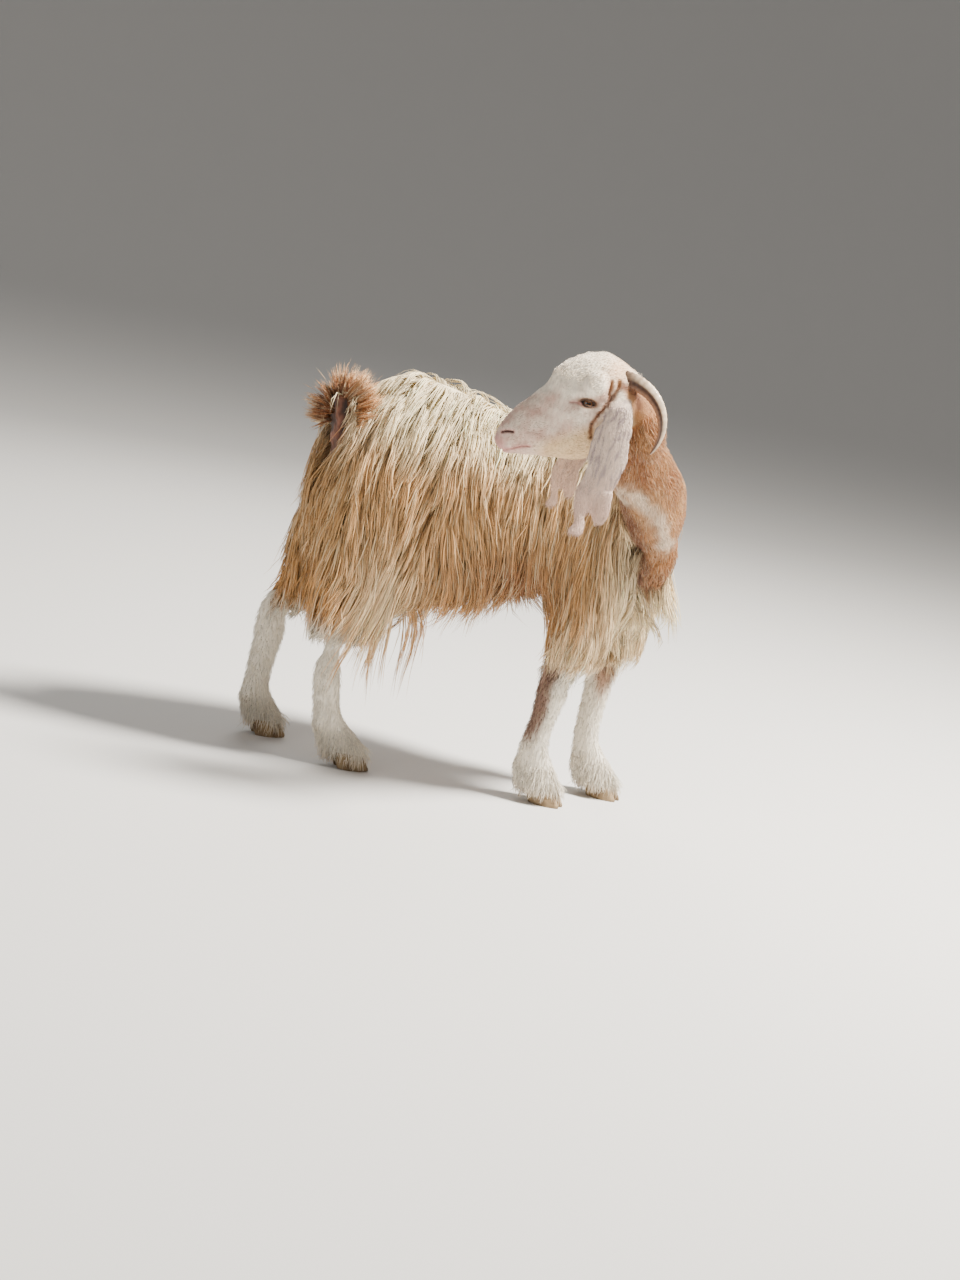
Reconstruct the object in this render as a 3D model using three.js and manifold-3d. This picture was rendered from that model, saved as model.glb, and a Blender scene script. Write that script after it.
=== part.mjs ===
// A long-haired, lop-eared doe goat with small scimitar horns, standing with her trunk bent to the
// right and her head turned back along her right flank. Life size, in millimetres, +Z up, with the
// floor at z = 0. +X runs towards her forequarters and +Y towards her left side.
// Flesh and coat are lofted together as whole forms, which then part where they meet.
import * as THREE from 'three';
import { mergeVertices } from 'three/addons/utils/BufferGeometryUtils.js';
import Module from 'manifold-3d';

const wasm = await Module();
wasm.setup();

// ---- Driving dimensions ----
const GAP = 0.6; // between two forms that meet
const HIP_HEIGHT = 740; // top of the coat over the hips
const WITHERS_HEIGHT = 708;
const BELLY_HEM = 262; // lowest hairs under the flank
const LOCK_DEPTH = 0.035; // how far the hanging locks stand in and out, as a share of the coat's reach
const HEAD_PITCH = THREE.MathUtils.degToRad(30); // the face points this far below level
const EYE_PLACE = new THREE.Vector3(158, -282, 746); // midway between the eyes
const EYE_SIDE = 49; // from there to an eye's centre
const EYE_RADIUS = 14;
const EAR_LENGTH = 238;
const HORN_RADIUS = 82; // of the arc that a horn follows
const HORN_GIRTH = 12.5; // half its depth at the root
const TAIL_LENGTH = 105;
const CLAW_LENGTH = 64;
const CLAW_WIDTH = 24;
const CORONET = 30; // height at which the hair of the foot ends
const Z = new THREE.Vector3(0, 0, 1);

// ---- Finishes ----
const finish = (color, roughness) => new THREE.MeshStandardMaterial({ color, roughness, metalness: 0 });
const COAT_CREAM = finish(0xd9bd8f, 0.85);
const COAT_GOLD = finish(0xb98a55, 0.85);
const COAT_RUST = finish(0xa8693c, 0.85);
const COAT_WHITE = finish(0xe6dccb, 0.85);
const EAR_SKIN = finish(0xdcc9bb, 0.8);
const HORN = finish(0x9c8468, 0.55);
const HOOF = finish(0x8c7458, 0.6);
const EYE = finish(0x5a3a1c, 0.15);

// ---- Lofting ----

const heading = (degrees) => {
  const a = THREE.MathUtils.degToRad(degrees);
  return new THREE.Vector3(Math.cos(a), Math.sin(a), 0);
};

// A closed tube through stations. Each station is [x, y, z, half width, reach above, reach below], and
// `up` is the section's upright, one vector or one for each station. `power` under 1 squares the
// section's lower half. `ribs` stands every second ring's lower half out, as locks that hang down a
// flank; `locks` does so with every second side, as locks round a leg, whose far end is a `fringe` deep.
function loft(stations, shape, grow = 0) {
  const { up = Z, steps = 3, sides, power = 1, ribs = 0, locks = 0, fringe = 0, ends } = shape;
  const ups = Array.isArray(up) ? up : stations.map(() => up);
  const path = new THREE.CatmullRomCurve3(stations.map((s) => new THREE.Vector3(s[0], s[1], s[2])));
  const girth = new THREE.CatmullRomCurve3(stations.map((s) => new THREE.Vector3(s[3], s[4], s[5])));
  const upright = new THREE.CatmullRomCurve3(ups);
  const rings = (stations.length - 1) * steps;
  const position = [];
  const index = [];

  const ring = (t, scale, along, count) => {
    const ahead = path.getTangent(t);
    const centre = path.getPoint(t).addScaledVector(ahead, along);
    const side = new THREE.Vector3().crossVectors(ahead, upright.getPoint(t)).normalize();
    const top = new THREE.Vector3().crossVectors(side, ahead).normalize();
    const [w, above, below] = girth.getPoint(t).toArray().map((reach) => reach + grow);
    for (let k = 0; k < sides; k++) {
      const a = (2 * Math.PI * k) / sides;
      const c = Math.cos(a);
      const s = Math.sin(a);
      const lower = s < 0 ? power : 1;
      const rib = 1 + ribs * Math.max(0, -s) * (count % 2 ? 1 : -1);
      const lock = 1 + locks * t * (k % 2 ? 1 : -1);
      const across = w * Math.sign(c) * Math.abs(c) ** lower * lock * scale;
      const height = (s < 0 ? below : above) * Math.sign(s) * Math.abs(s) ** lower * rib * lock * scale;
      const drop = along > 0 || t === 1 ? fringe * (k % 2) : 0;
      const point = centre.clone().addScaledVector(side, across).addScaledVector(top, height);
      position.push(...point.addScaledVector(ahead, drop).toArray());
    }
  };

  const [near, far] = ends.map((end) => end + grow);
  const dome = [0.5, 0.86];
  for (const d of dome) ring(0, d, -near * Math.sqrt(1 - d * d), 0);
  for (let i = 0; i <= rings; i++) ring(i / rings, 1, 0, i);
  for (const d of dome.toReversed()) ring(1, d, far * Math.sqrt(1 - d * d), rings);

  const loops = position.length / 3 / sides;
  for (let i = 0; i + 1 < loops; i++)
    for (let k = 0; k < sides; k++) {
      const [a, b] = [i * sides + k, i * sides + ((k + 1) % sides)];
      index.push(a, b, a + sides, b, b + sides, a + sides);
    }
  for (const [loop, t, along] of [[0, 0, -near], [loops - 1, 1, far]]) {
    const pole = position.length / 3;
    position.push(...path.getPoint(t).addScaledVector(path.getTangent(t), along).toArray());
    for (let k = 0; k < sides; k++) {
      const [a, b] = [loop * sides + k, loop * sides + ((k + 1) % sides)];
      index.push(...(t ? [a, b, pole] : [b, a, pole]));
    }
  }
  const geometry = new THREE.BufferGeometry();
  geometry.setAttribute('position', new THREE.Float32BufferAttribute(position, 3));
  geometry.setIndex(index);
  return geometry;
}

// ---- Solids ----

// A solid from closed geometry, turned inside out where a loft's sections ran the other way round.
function solid(geometry) {
  const bare = geometry.clone();
  bare.deleteAttribute('normal');
  bare.deleteAttribute('uv');
  const { attributes, index } = mergeVertices(bare, 1e-4);
  const build = (triangles) =>
    new wasm.Manifold(
      new wasm.Mesh({
        numProp: 3,
        vertProperties: attributes.position.array,
        triVerts: new Uint32Array(triangles),
      }),
    );
  const made = build(index.array);
  return made.volume() > 0 ? made : build(index.array.toReversed());
}

function geometryOf(manifold) {
  const { vertProperties, triVerts } = manifold.getMesh();
  const geometry = new THREE.BufferGeometry();
  geometry.setAttribute('position', new THREE.BufferAttribute(vertProperties, 3));
  geometry.setIndex(new THREE.BufferAttribute(triVerts, 1));
  geometry.computeVertexNormals();
  return geometry;
}

const join = (...solids) => solids.reduce((a, b) => a.add(b));

// The room that a form takes from its neighbours: itself, and itself grown by the gap.
const room = (form) => join(form(0), form(GAP));

// What is left of a form outside the others: the largest piece, without its slivers.
function outside(form, ...others) {
  const pieces = others.reduce((rest, other) => rest.subtract(other), form).decompose();
  return pieces.reduce((largest, piece) => (piece.volume() > largest.volume() ? piece : largest));
}

// ---- Trunk: rump, barrel and withers with the coat that hangs from them ----
function trunk(grow = 0) {
  // [x, y, z of the middle, half width, reach above, reach below], from tail to breast
  const stations = [
    [-258, -62, 548, 102, 76, 180],
    [-190, -28, 545, 136, HIP_HEIGHT - 545, 230],
    [-80, 10, 525, 154, 200, 525 - BELLY_HEM],
    [40, 28, 515, 160, 178, 216],
    [140, 22, 515, 156, 184, 170],
    [238, -8, 520, 136, WITHERS_HEIGHT - 520, 180],
    [312, -52, 505, 94, 118, 160],
  ];
  const barrel = loft(stations, { steps: 3, sides: 22, power: 0.6, ribs: LOCK_DEPTH, ends: [36, 36] }, grow);
  // Breast: the long locks that hang between and before the forelegs, from top to hem
  const locks = [
    [322, -58, 520, 78, 36, 60],
    [342, -72, 430, 86, 42, 60],
    [354, -80, 345, 66, 38, 48],
  ];
  const hung = { up: heading(-32), steps: 2, sides: 14, locks: 2 * LOCK_DEPTH, fringe: 10, ends: [30, 18] };
  const breast = loft(locks, hung, grow);
  return join(solid(barrel), solid(breast));
}

// ---- Neck: from the breast forwards, up and round to the right ----
function neck(grow = 0) {
  const stations = [
    [255, -15, 560, 90, 118, 140],
    [306, -78, 566, 72, 84, 122],
    [304, -152, 606, 60, 60, 86],
    [272, -218, 658, 52, 52, 70],
    [222, -274, 716, 52, 50, 58],
  ];
  const leans = [[-0.3, 0, 1], [-0.35, 0.25, 1], [-0.1, 0.5, 1], [0.3, 0.3, 1], [0.35, 0, 1]];
  const up = leans.map((lean) => new THREE.Vector3(...lean));
  return solid(loft(stations, { up, steps: 3, sides: 14, ends: [20, 20] }, grow));
}

// ---- Head, in its own frame: x towards the lips, y to its left, z up, origin between the eyes ----
const headFrame = new THREE.Matrix4()
  .makeBasis(
    new THREE.Vector3(-Math.cos(HEAD_PITCH), 0, -Math.sin(HEAD_PITCH)),
    new THREE.Vector3(0, -1, 0),
    new THREE.Vector3(-Math.sin(HEAD_PITCH), 0, Math.cos(HEAD_PITCH)),
  )
  .setPosition(EYE_PLACE);
const inHead = (geometry) => solid(geometry.clone().applyMatrix4(headFrame));
const eyeball = (side, grow = 0) =>
  inHead(new THREE.SphereGeometry(EYE_RADIUS + grow, 12, 8).translate(0, side * EYE_SIDE, 0));

function head(grow = 0) {
  const poll = [
    [-86, 0, -2, 34, 32, 40],
    [-62, 0, 0, 51, 62, 68],
    [-30, 0, 2, 59, 77, 88],
    [2, 0, -2, 56, 81, 93],
    [36, 0, -9, 46, 72, 82],
    [72, 0, -8, 37, 57, 66],
    [108, 0, -6, 31, 43, 53],
    [140, 0, -10, 27, 29, 38],
    [160, 0, -16, 20, 17, 22],
  ];
  const skull = inHead(loft(poll, { steps: 2, sides: 18, ends: [10, 9] }, grow));
  // Brow: the bulge over each eye
  const brow = (side) =>
    inHead(new THREE.SphereGeometry(21 + grow, 10, 8).scale(1.3, 0.72, 0.95).translate(-14, side * 44, 9));
  return join(skull, brow(1), brow(-1));
}

// Openings cut in the head: eye sockets, nostrils and the slit of the mouth, 5 mm deep round the lips
function features() {
  const nostril = (side) => {
    const slot = new THREE.SphereGeometry(1, 8, 6).scale(10, 6, 3.2).rotateY(0.1).rotateZ(-0.32 * side);
    return inHead(slot.translate(146, 25 * side, -2));
  };
  const slit = inHead(new THREE.BoxGeometry(60, 80, 1.6).rotateY(0.12).translate(146, 0, -30));
  const jaws = [
    [100, 0, -31, 27, 6, 6],
    [140, 0, -31, 22, 6, 6],
    [158, 0, -31, 13, 6, 6],
  ];
  const mouth = slit.subtract(inHead(loft(jaws, { steps: 1, sides: 10, ends: [2, 5] })));
  return join(eyeball(1, GAP), eyeball(-1, GAP), nostril(1), nostril(-1), mouth);
}

// ---- Ears: long hanging blades with a rounded rear lobe and a narrow, curled front one ----
// Each hangs straight down from its root on the head. Stations are [x, out, down, half width, thickness].
const EAR_ROOT = new THREE.Vector3(-58, 52, 8);
function ear(side, length, grow = 0) {
  const root = EAR_ROOT.clone().multiply(new THREE.Vector3(1, side, 1)).applyMatrix4(headFrame);
  const lobe = (stations) => {
    const placed = stations.map(([x, out, down, half, thick]) => [
      root.x + x, root.y - side * out, root.z - down * length, half, thick, thick,
    ]);
    const up = new THREE.Vector3(0, -side, 0);
    return solid(loft(placed, { up, steps: 2, sides: 8, ends: [6, 7] }, grow));
  };
  const blade = lobe([
    [10, -12, -0.02, 18, 9],
    [8, 8, 0.16, 34, 8],
    [5, 17, 0.34, 38, 6],
    [2, 19, 0.52, 33, 5.5],
    [-3, 18, 0.7, 30, 5],
  ]);
  const rear = lobe([
    [8, 18, 0.68, 20, 5],
    [11, 20, 0.8, 16, 4.5],
    [9, 20, 0.89, 12, 4.5],
  ]);
  const front = lobe([
    [-22, 18, 0.66, 15, 5],
    [-28, 20, 0.84, 10, 4.5],
    [-20, 24, 0.98, 11, 4],
    [-20, 26, 1.02, 12, 4],
  ]);
  return join(blade, rear, front);
}

// ---- Horns: flattened scimitars that sweep back and down in an arc behind the ears ----
function horn(side, { radius, centre, turn, splay }, grow = 0) {
  const stations = [];
  const up = [];
  for (let t = 0; t <= 1; t += 0.125) {
    const a = THREE.MathUtils.degToRad(112 + turn * t);
    const half = HORN_GIRTH * (1 - t) ** 0.7 + 1.8;
    const spread = side * (26 + splay * Math.sin(0.9 * Math.PI * t));
    const out = new THREE.Vector3(Math.cos(a), 0, Math.sin(a));
    stations.push([-27 + radius * out.x, spread, centre + radius * out.z, 0.62 * half, half, half]);
    up.push(out);
  }
  return inHead(loft(stations, { up, steps: 1, sides: 8, ends: [6, 3] }, grow));
}
const HORNS = {
  left: { radius: HORN_RADIUS, centre: -43, turn: 128, splay: 26 },
  right: { radius: HORN_RADIUS - 6, centre: -53, turn: 84, splay: 30 }, // shorter, clear of the neck
};

// ---- Tail: short, carried upright, its hair fanned to both sides ----
function tail(grow = 0) {
  const stations = [0, 0.35, 0.7, 0.95].map((t) => {
    const half = 40 + 34 * Math.sin(Math.PI * (0.1 + 0.75 * t));
    return [-262 - 10 * t, -74 - 6 * t, 578 + TAIL_LENGTH * t, half, 34, 30];
  });
  const fan = { up: heading(210), steps: 1, sides: 16, locks: 2 * LOCK_DEPTH, fringe: 10, ends: [24, 8] };
  return solid(loft(stations, fan, grow));
}

// ---- Legs ----
// Each is lofted down from the body: a skirt of long hair above, and the shank with its short hair
// below. Stations are [x, y, z, half width across, reach forwards, reach backwards].
const LEGS = {
  hind_right: {
    turn: 20,
    foot: [-130, -91],
    skirt: [
      [-192, -76, 540, 62, 80, 72], [-184, -90, 440, 66, 98, 88], [-196, -96, 330, 60, 92, 72],
      [-198, -97, 215, 50, 72, 56],
    ],
    shank: [
      [-192, -95, 300, 28, 32, 32], [-206, -95, 235, 24, 30, 32], [-204, -95, 180, 21, 27, 28],
      [-196, -94, 115, 20, 25, 26], [-184, -93, 74, 22, 28, 30], [-160, -92, 44, 25, 32, 32],
      [-146, -91, 20, 26, 34, 30],
    ],
  },
  hind_left: {
    turn: 24,
    foot: [-302, 46],
    skirt: [
      [-252, 6, 500, 56, 66, 60], [-262, 32, 420, 60, 88, 66], [-280, 42, 340, 52, 76, 56],
      [-288, 44, 245, 42, 54, 48],
    ],
    shank: [
      [-300, 42, 300, 28, 32, 32], [-328, 44, 235, 24, 32, 34], [-334, 45, 180, 21, 28, 29],
      [-341, 46, 110, 19, 24, 25], [-338, 46, 68, 22, 30, 30], [-322, 46, 40, 25, 31, 31],
      [-314, 46, 20, 25, 33, 28],
    ],
  },
  fore_right: {
    turn: -22,
    foot: [232, -78],
    skirt: [
      [236, -66, 520, 60, 84, 84], [234, -78, 410, 64, 86, 80], [232, -82, 320, 60, 66, 62],
      [232, -84, 262, 50, 52, 52],
    ],
    shank: [
      [208, -80, 300, 28, 32, 32], [206, -80, 240, 26, 30, 31], [203, -80, 200, 25, 29, 30],
      [196, -79, 150, 20, 23, 23], [190, -78, 102, 21, 27, 28], [198, -77, 64, 26, 37, 38],
      [208, -77, 38, 28, 40, 40], [214, -77, 20, 28, 40, 36],
    ],
  },
  fore_left: {
    turn: -26,
    foot: [342, 60],
    skirt: [
      [300, 14, 500, 58, 70, 76], [304, 38, 410, 58, 66, 70], [306, 52, 330, 52, 54, 54],
      [306, 56, 280, 44, 46, 46],
    ],
    shank: [
      [302, 56, 300, 28, 30, 30], [292, 57, 240, 24, 26, 27], [290, 58, 205, 24, 26, 26],
      [287, 58, 150, 20, 23, 24], [289, 59, 100, 21, 25, 26], [305, 60, 60, 25, 36, 37],
      [320, 60, 36, 28, 38, 38], [326, 60, 20, 28, 38, 36],
    ],
  },
};

// Dewclaw: a horny knob behind the fetlock, half sunk in the hair there
function dewclaw(shank, turn, side) {
  const [x, y, z, , , back] = shank.find((station) => station[2] < 80);
  const knob = new THREE.SphereGeometry(1, 5, 4).scale(11, 8, 13).rotateY(-0.5);
  knob.translate(8 - back, side * 12, z).rotateZ(THREE.MathUtils.degToRad(turn));
  return solid(knob.translate(x, y, 0));
}

function leg({ turn, skirt, shank }, grow = 0) {
  const up = heading(turn);
  const floor = solid(new THREE.BoxGeometry(2000, 2000, 200).translate(0, 0, CORONET + GAP - 100));
  const limb = solid(loft(shank, { up, steps: 2, sides: 10, ends: [10, 8] }, grow));
  const hung = { up, steps: 2, sides: 12, locks: LOCK_DEPTH, fringe: 12, ends: [24, 14] };
  return {
    upper: solid(loft(skirt, hung, grow)),
    lower: join(limb, dewclaw(shank, turn, 1), dewclaw(shank, turn, -1)).subtract(floor),
  };
}

// Claw: half a cloven hoof, flat soled, its wall sloping back from toe to coronet
function claw([x, y], turn, side) {
  const points = 10;
  const position = [];
  const index = [];
  // [height, scale of the outline, how far it lies back]
  const rings = [[0, 0.94, 0], [4, 1, 1], [CORONET, 0.84, 13]];
  for (const [height, scale, back] of rings)
    for (let k = 0; k < points; k++) {
      const a = (2 * Math.PI * k) / points;
      const toe = Math.max(0, Math.cos(a));
      const across = (CLAW_WIDTH / 2) * Math.sin(a) * (1 - 0.4 * toe ** 2) - side * 4 * toe ** 3;
      position.push((CLAW_LENGTH / 2) * Math.cos(a) * scale - back, across * scale, height);
    }
  for (const height of [0, CORONET]) position.push(height ? -13 : 0, 0, height);
  const [sole, crown] = [rings.length * points, rings.length * points + 1];
  for (let k = 0; k < points; k++) {
    const next = (k + 1) % points;
    for (let ring = 0; ring < (rings.length - 1) * points; ring += points) {
      const [a, b] = [ring + k, ring + next];
      index.push(a, b, a + points, b, b + points, a + points);
    }
    const last = (rings.length - 1) * points;
    index.push(next, k, sole, last + k, last + next, crown);
  }
  const geometry = new THREE.BufferGeometry();
  geometry.setAttribute('position', new THREE.Float32BufferAttribute(position, 3));
  geometry.setIndex(index);
  const spread = side * (CLAW_WIDTH / 2 + 1.5);
  return geometry.translate(0, spread, 0).rotateZ(THREE.MathUtils.degToRad(turn)).translate(x, y, 0);
}

// ---- Model ----
const model = new THREE.Group();
model.name = 'goat';
function add(name, form, material) {
  const mesh = new THREE.Mesh(form.isBufferGeometry ? form : geometryOf(form), material);
  mesh.name = name;
  model.add(mesh);
}

add('trunk', trunk(), COAT_CREAM);
add('head', head().subtract(features()), COAT_WHITE);
add('neck', outside(neck(), room(trunk), room(head)), COAT_RUST);
add('tail', outside(tail(), room(trunk)), COAT_GOLD);
const flesh = join(room(trunk), room(neck), room(head));
for (const [name, side, length] of [['left', 1, EAR_LENGTH], ['right', -1, EAR_LENGTH - 20]]) {
  const listener = ear(side, length);
  add(`ear_${name}`, outside(listener, flesh), EAR_SKIN);
  add(`horn_${name}`, outside(horn(side, HORNS[name]), flesh, room((grow) => ear(side, length, grow))), HORN);
  add(`eye_${name}`, eyeball(side), EYE);
}
for (const [name, form] of Object.entries(LEGS)) {
  const { upper, lower } = leg(form);
  const above = room((grow) => leg(form, grow).upper);
  add(`leg_${name}_upper`, outside(upper, flesh), COAT_GOLD);
  add(`leg_${name}_lower`, outside(lower, flesh, above), COAT_WHITE);
  const inwards = name.endsWith('right') ? 1 : -1;
  add(`claw_${name}_inner`, claw(form.foot, form.turn, inwards), HOOF);
  add(`claw_${name}_outer`, claw(form.foot, form.turn, -inwards), HOOF);
}

// The origin lies on the floor under the middle of the whole goat.
const extent = new THREE.Box3().setFromObject(model, true);
const middle = extent.getCenter(new THREE.Vector3());
model.position.set(-middle.x, -middle.y, 0);
export default model;
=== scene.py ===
import math

import bmesh
import bpy
import numpy as np
from mathutils import Matrix, Vector
from mathutils.bvhtree import BVHTree
from mathutils.kdtree import KDTree


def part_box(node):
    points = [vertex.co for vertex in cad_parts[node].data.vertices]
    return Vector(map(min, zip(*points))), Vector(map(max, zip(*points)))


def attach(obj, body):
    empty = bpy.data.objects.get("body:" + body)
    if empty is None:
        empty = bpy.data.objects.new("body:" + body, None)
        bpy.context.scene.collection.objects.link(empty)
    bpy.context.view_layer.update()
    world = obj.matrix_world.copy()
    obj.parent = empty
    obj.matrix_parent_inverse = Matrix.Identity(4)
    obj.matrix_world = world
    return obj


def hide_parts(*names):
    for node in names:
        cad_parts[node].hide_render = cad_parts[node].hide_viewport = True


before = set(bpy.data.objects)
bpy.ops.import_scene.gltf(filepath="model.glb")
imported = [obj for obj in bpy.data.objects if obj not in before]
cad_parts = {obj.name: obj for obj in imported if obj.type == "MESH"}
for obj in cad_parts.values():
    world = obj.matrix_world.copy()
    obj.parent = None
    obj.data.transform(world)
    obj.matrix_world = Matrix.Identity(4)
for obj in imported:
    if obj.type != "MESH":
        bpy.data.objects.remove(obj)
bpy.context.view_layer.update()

# ---- Camera ----
# It stands four metres off the goat's right flank, looks down a little and leans to one side.
CAMERA_PLACE = Vector((0.0402, -3.9174, 0.969))
CAMERA_PITCH = math.radians(10)
CAMERA_LEAN = math.radians(11)
CAMERA_LENS = 61.9


def placed(name, data):
    """A new object in the scene."""
    piece = bpy.data.objects.new(name, data)
    bpy.context.scene.collection.objects.link(piece)
    return piece


level = Vector((1, 0, 0))
ahead = Vector((0, math.cos(CAMERA_PITCH), -math.sin(CAMERA_PITCH)))
upright = Vector((0, math.sin(CAMERA_PITCH), math.cos(CAMERA_PITCH)))
camera_right = level * math.cos(CAMERA_LEAN) + upright * math.sin(CAMERA_LEAN)
camera_up = upright * math.cos(CAMERA_LEAN) - level * math.sin(CAMERA_LEAN)
camera = placed("camera", bpy.data.cameras.new("camera"))
camera.data.lens = CAMERA_LENS
camera.matrix_world = Matrix.Translation(CAMERA_PLACE) @ Matrix(
    (camera_right, camera_up, -ahead)
).transposed().to_4x4()
bpy.context.scene.camera = camera

# ---- Floor and light ----
# A pale studio bowl: a flat floor that turns up far behind the goat on every side.
FLOOR_RADIUS = 30.0
BOWL_RISE = 16.0
BOWL_NOTCHES = 24
BOWL_SIDES = 96
PAPER = (0.72, 0.708, 0.69, 1)
LIGHTS = {  # place, size, watts and glow
    "key_light": ((2.5, -0.1, 3.7), 1.0, 860, (1.0, 0.95, 0.87)),
    "fill_light": ((-2.8, -3.4, 2.2), 2.5, 32, (0.97, 0.98, 1.0)),
    "back_light": ((-0.6, 3.2, 2.6), 2.0, 60, (1.0, 0.96, 0.90)),
}
LIT_POINT = Vector((0, 0, 0.45))  # the goat's middle, which all lights face
SKY = (1.0, 0.98, 0.95, 1)
SKY_STRENGTH = 0.30

form = bmesh.new()
flat_radius = FLOOR_RADIUS - BOWL_RISE
profile = [form.verts.new((0, 0, 0)), form.verts.new((flat_radius, 0, 0))]
for notch in range(1, BOWL_NOTCHES + 1):
    turn = math.pi / 2 * notch / BOWL_NOTCHES
    reach = flat_radius + BOWL_RISE * math.sin(turn)
    profile.append(form.verts.new((reach, 0, BOWL_RISE * (1 - math.cos(turn)))))
lines = [form.edges.new(pair) for pair in zip(profile, profile[1:])]
whole_turn = {"axis": (0, 0, 1), "angle": 2 * math.pi, "steps": BOWL_SIDES, "use_merge": True}
bmesh.ops.spin(form, geom=profile + lines, **whole_turn)
bmesh.ops.remove_doubles(form, verts=form.verts, dist=1e-4)
for face in form.faces:
    face.smooth = True
    face.normal_update()
    centre = face.calc_center_median()
    if face.normal.dot(Vector((0, 0, BOWL_RISE)) - centre) < 0:
        face.normal_flip()
floor = placed("floor", bpy.data.meshes.new("floor"))
form.to_mesh(floor.data)
form.free()

paper = bpy.data.materials.new("pale_floor")
paper.use_nodes = True
shader = paper.node_tree.nodes["Principled BSDF"]
shader.inputs["Base Color"].default_value = PAPER
shader.inputs["Roughness"].default_value = 0.9
floor.data.materials.append(paper)

for name, (place, size, watts, glow) in LIGHTS.items():
    lamp = bpy.data.lights.new(name, "AREA")
    lamp.shape = "DISK"
    lamp.size = size
    lamp.energy = watts
    lamp.color = glow
    holder = placed(name, lamp)
    holder.location = place
    holder.rotation_euler = (LIT_POINT - Vector(place)).to_track_quat("-Z", "Y").to_euler()
world = bpy.data.worlds.new("studio")
world.use_nodes = True
world.node_tree.nodes["Background"].inputs["Color"].default_value = SKY
world.node_tree.nodes["Background"].inputs["Strength"].default_value = SKY_STRENGTH
bpy.context.scene.world = world

# ---- Skin ----
# One hide from the lips to the claws, without a seam. It lies under the outline of the coat by the
# coat's depth: a hand's breadth under the belly, two fingers on the flanks and next to nothing on the
# face and shanks.
LEGS = ("hind_right", "hind_left", "fore_right", "fore_left")
FLESH = ["trunk", "neck", "head", "tail"]
FLESH += [f"leg_{leg}_{half}" for leg in LEGS for half in ("upper", "lower")]
COAT_DEPTH = {"trunk": 0.030, "neck": 0.003, "head": 0.006, "tail": 0.022, "upper": 0.026, "lower": 0.0}
COAT_HANG = {"trunk": 0.070, "upper": 0.030}  # how far the hanging hair reaches below the skin
BREAST_DEPTH = 0.030  # more for the locks of the breast
BREAST_HANG = 0.085
BREAST_TRIM = 0.018  # the coat lies flatter there than its outline
BACK_FILL = 0.015  # and stands a little fuller along the back
BREAST_HEIGHTS = (0.33, 0.36, 0.40, 0.45, 0.50, 0.55, 0.60, 0.64)
BREAST_FRONT = (0.40, 0.33, 0.325, 0.336, 0.346, 0.350, 0.352, 0.37)  # how far forwards the skin is there
# The short-haired apron lies between these lines across the goat's side. Their points are [forwards, up].
NECK_EDGE = [
    (0.322, 0.406), (0.298, 0.432), (0.294, 0.457), (0.292, 0.492), (0.262, 0.535), (0.226, 0.598),
]
APRON_FRONT = [(0.322, 0.406), (0.351, 0.453), (0.362, 0.498), (0.42, 0.53)]
APRON_DEPTH = 0.007
APRON_FULLNESS = 0.010
ENVELOPE_GRAIN = 0.006
SKIN_GRAIN = 0.0022
SHRINK_STEPS = 10


def values_of(items, name, width, kind=float):
    values = np.empty(len(items) * width, kind)
    items.foreach_get(name, values)
    return values.reshape(-1, width)


def points_of(mesh):
    return values_of(mesh.vertices, "co", 3)


def normals_of(mesh):
    return values_of(mesh.vertices, "normal", 3)


def edges_of(mesh):
    return values_of(mesh.edges, "vertices", 2, int)


def set_points(mesh, points):
    mesh.vertices.foreach_set("co", points.ravel())
    mesh.update()


def relaxed(values, edges, share, times):
    """Values at a mesh's points, each drawn towards the mean of its neighbours by its share."""
    a, b = edges.T
    count = np.maximum(np.bincount(edges.ravel(), minlength=len(values)), 1)[:, None]
    share = np.broadcast_to(np.asarray(share, float).reshape(-1, 1), (len(values), 1))
    for _ in range(times):
        near = [
            np.bincount(a, column[b], len(values)) + np.bincount(b, column[a], len(values))
            for column in values.T
        ]
        values = values + share * (np.array(near).T / count - values)
    return values


def finished(mesh, kind, **settings):
    """The mesh that one modifier makes of this one."""
    holder = placed("finished", mesh)
    modifier = holder.modifiers.new(kind.lower(), kind)
    for name, value in settings.items():
        setattr(modifier, name, value)
    made = bpy.data.meshes.new_from_object(holder.evaluated_get(bpy.context.evaluated_depsgraph_get()))
    bpy.data.objects.remove(holder)
    return made


def step(values, low, high):
    """Rises smoothly from 0 to 1 as the values go from low to high."""
    t = np.clip((values - low) / (high - low), 0, 1)
    return t * t * (3 - 2 * t)


def band(values, low, full, fading, high):
    """Rises smoothly from 0 to 1 between low and full, and falls again between fading and high."""
    return step(values, low, full) * (1 - step(values, fading, high))


def bell(distance, width):
    """1 on a spot or a line, and softly down to nothing about two widths away."""
    return np.exp(-((distance / width) ** 2))


def past(line, points, far=0.0):
    """How far points are forwards of a line across the goat's side."""
    line_x, line_z = np.transpose(line)
    return points[:, 0] - (np.interp(points[:, 2], line_z, line_x) + far)


def on_apron(points):
    """How far points belong to the short-haired apron that hangs from the neck over the breast."""
    height = points[:, 2]
    share = step(past(NECK_EDGE, points), -0.010, 0.002) * step(-points[:, 1], -0.01, 0.03)
    share *= 1 - step(past(APRON_FRONT, points), -0.002, 0.010)
    return share * step(height, 0.385, 0.405) * (1 - step(height, 0.60, 0.62))


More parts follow.
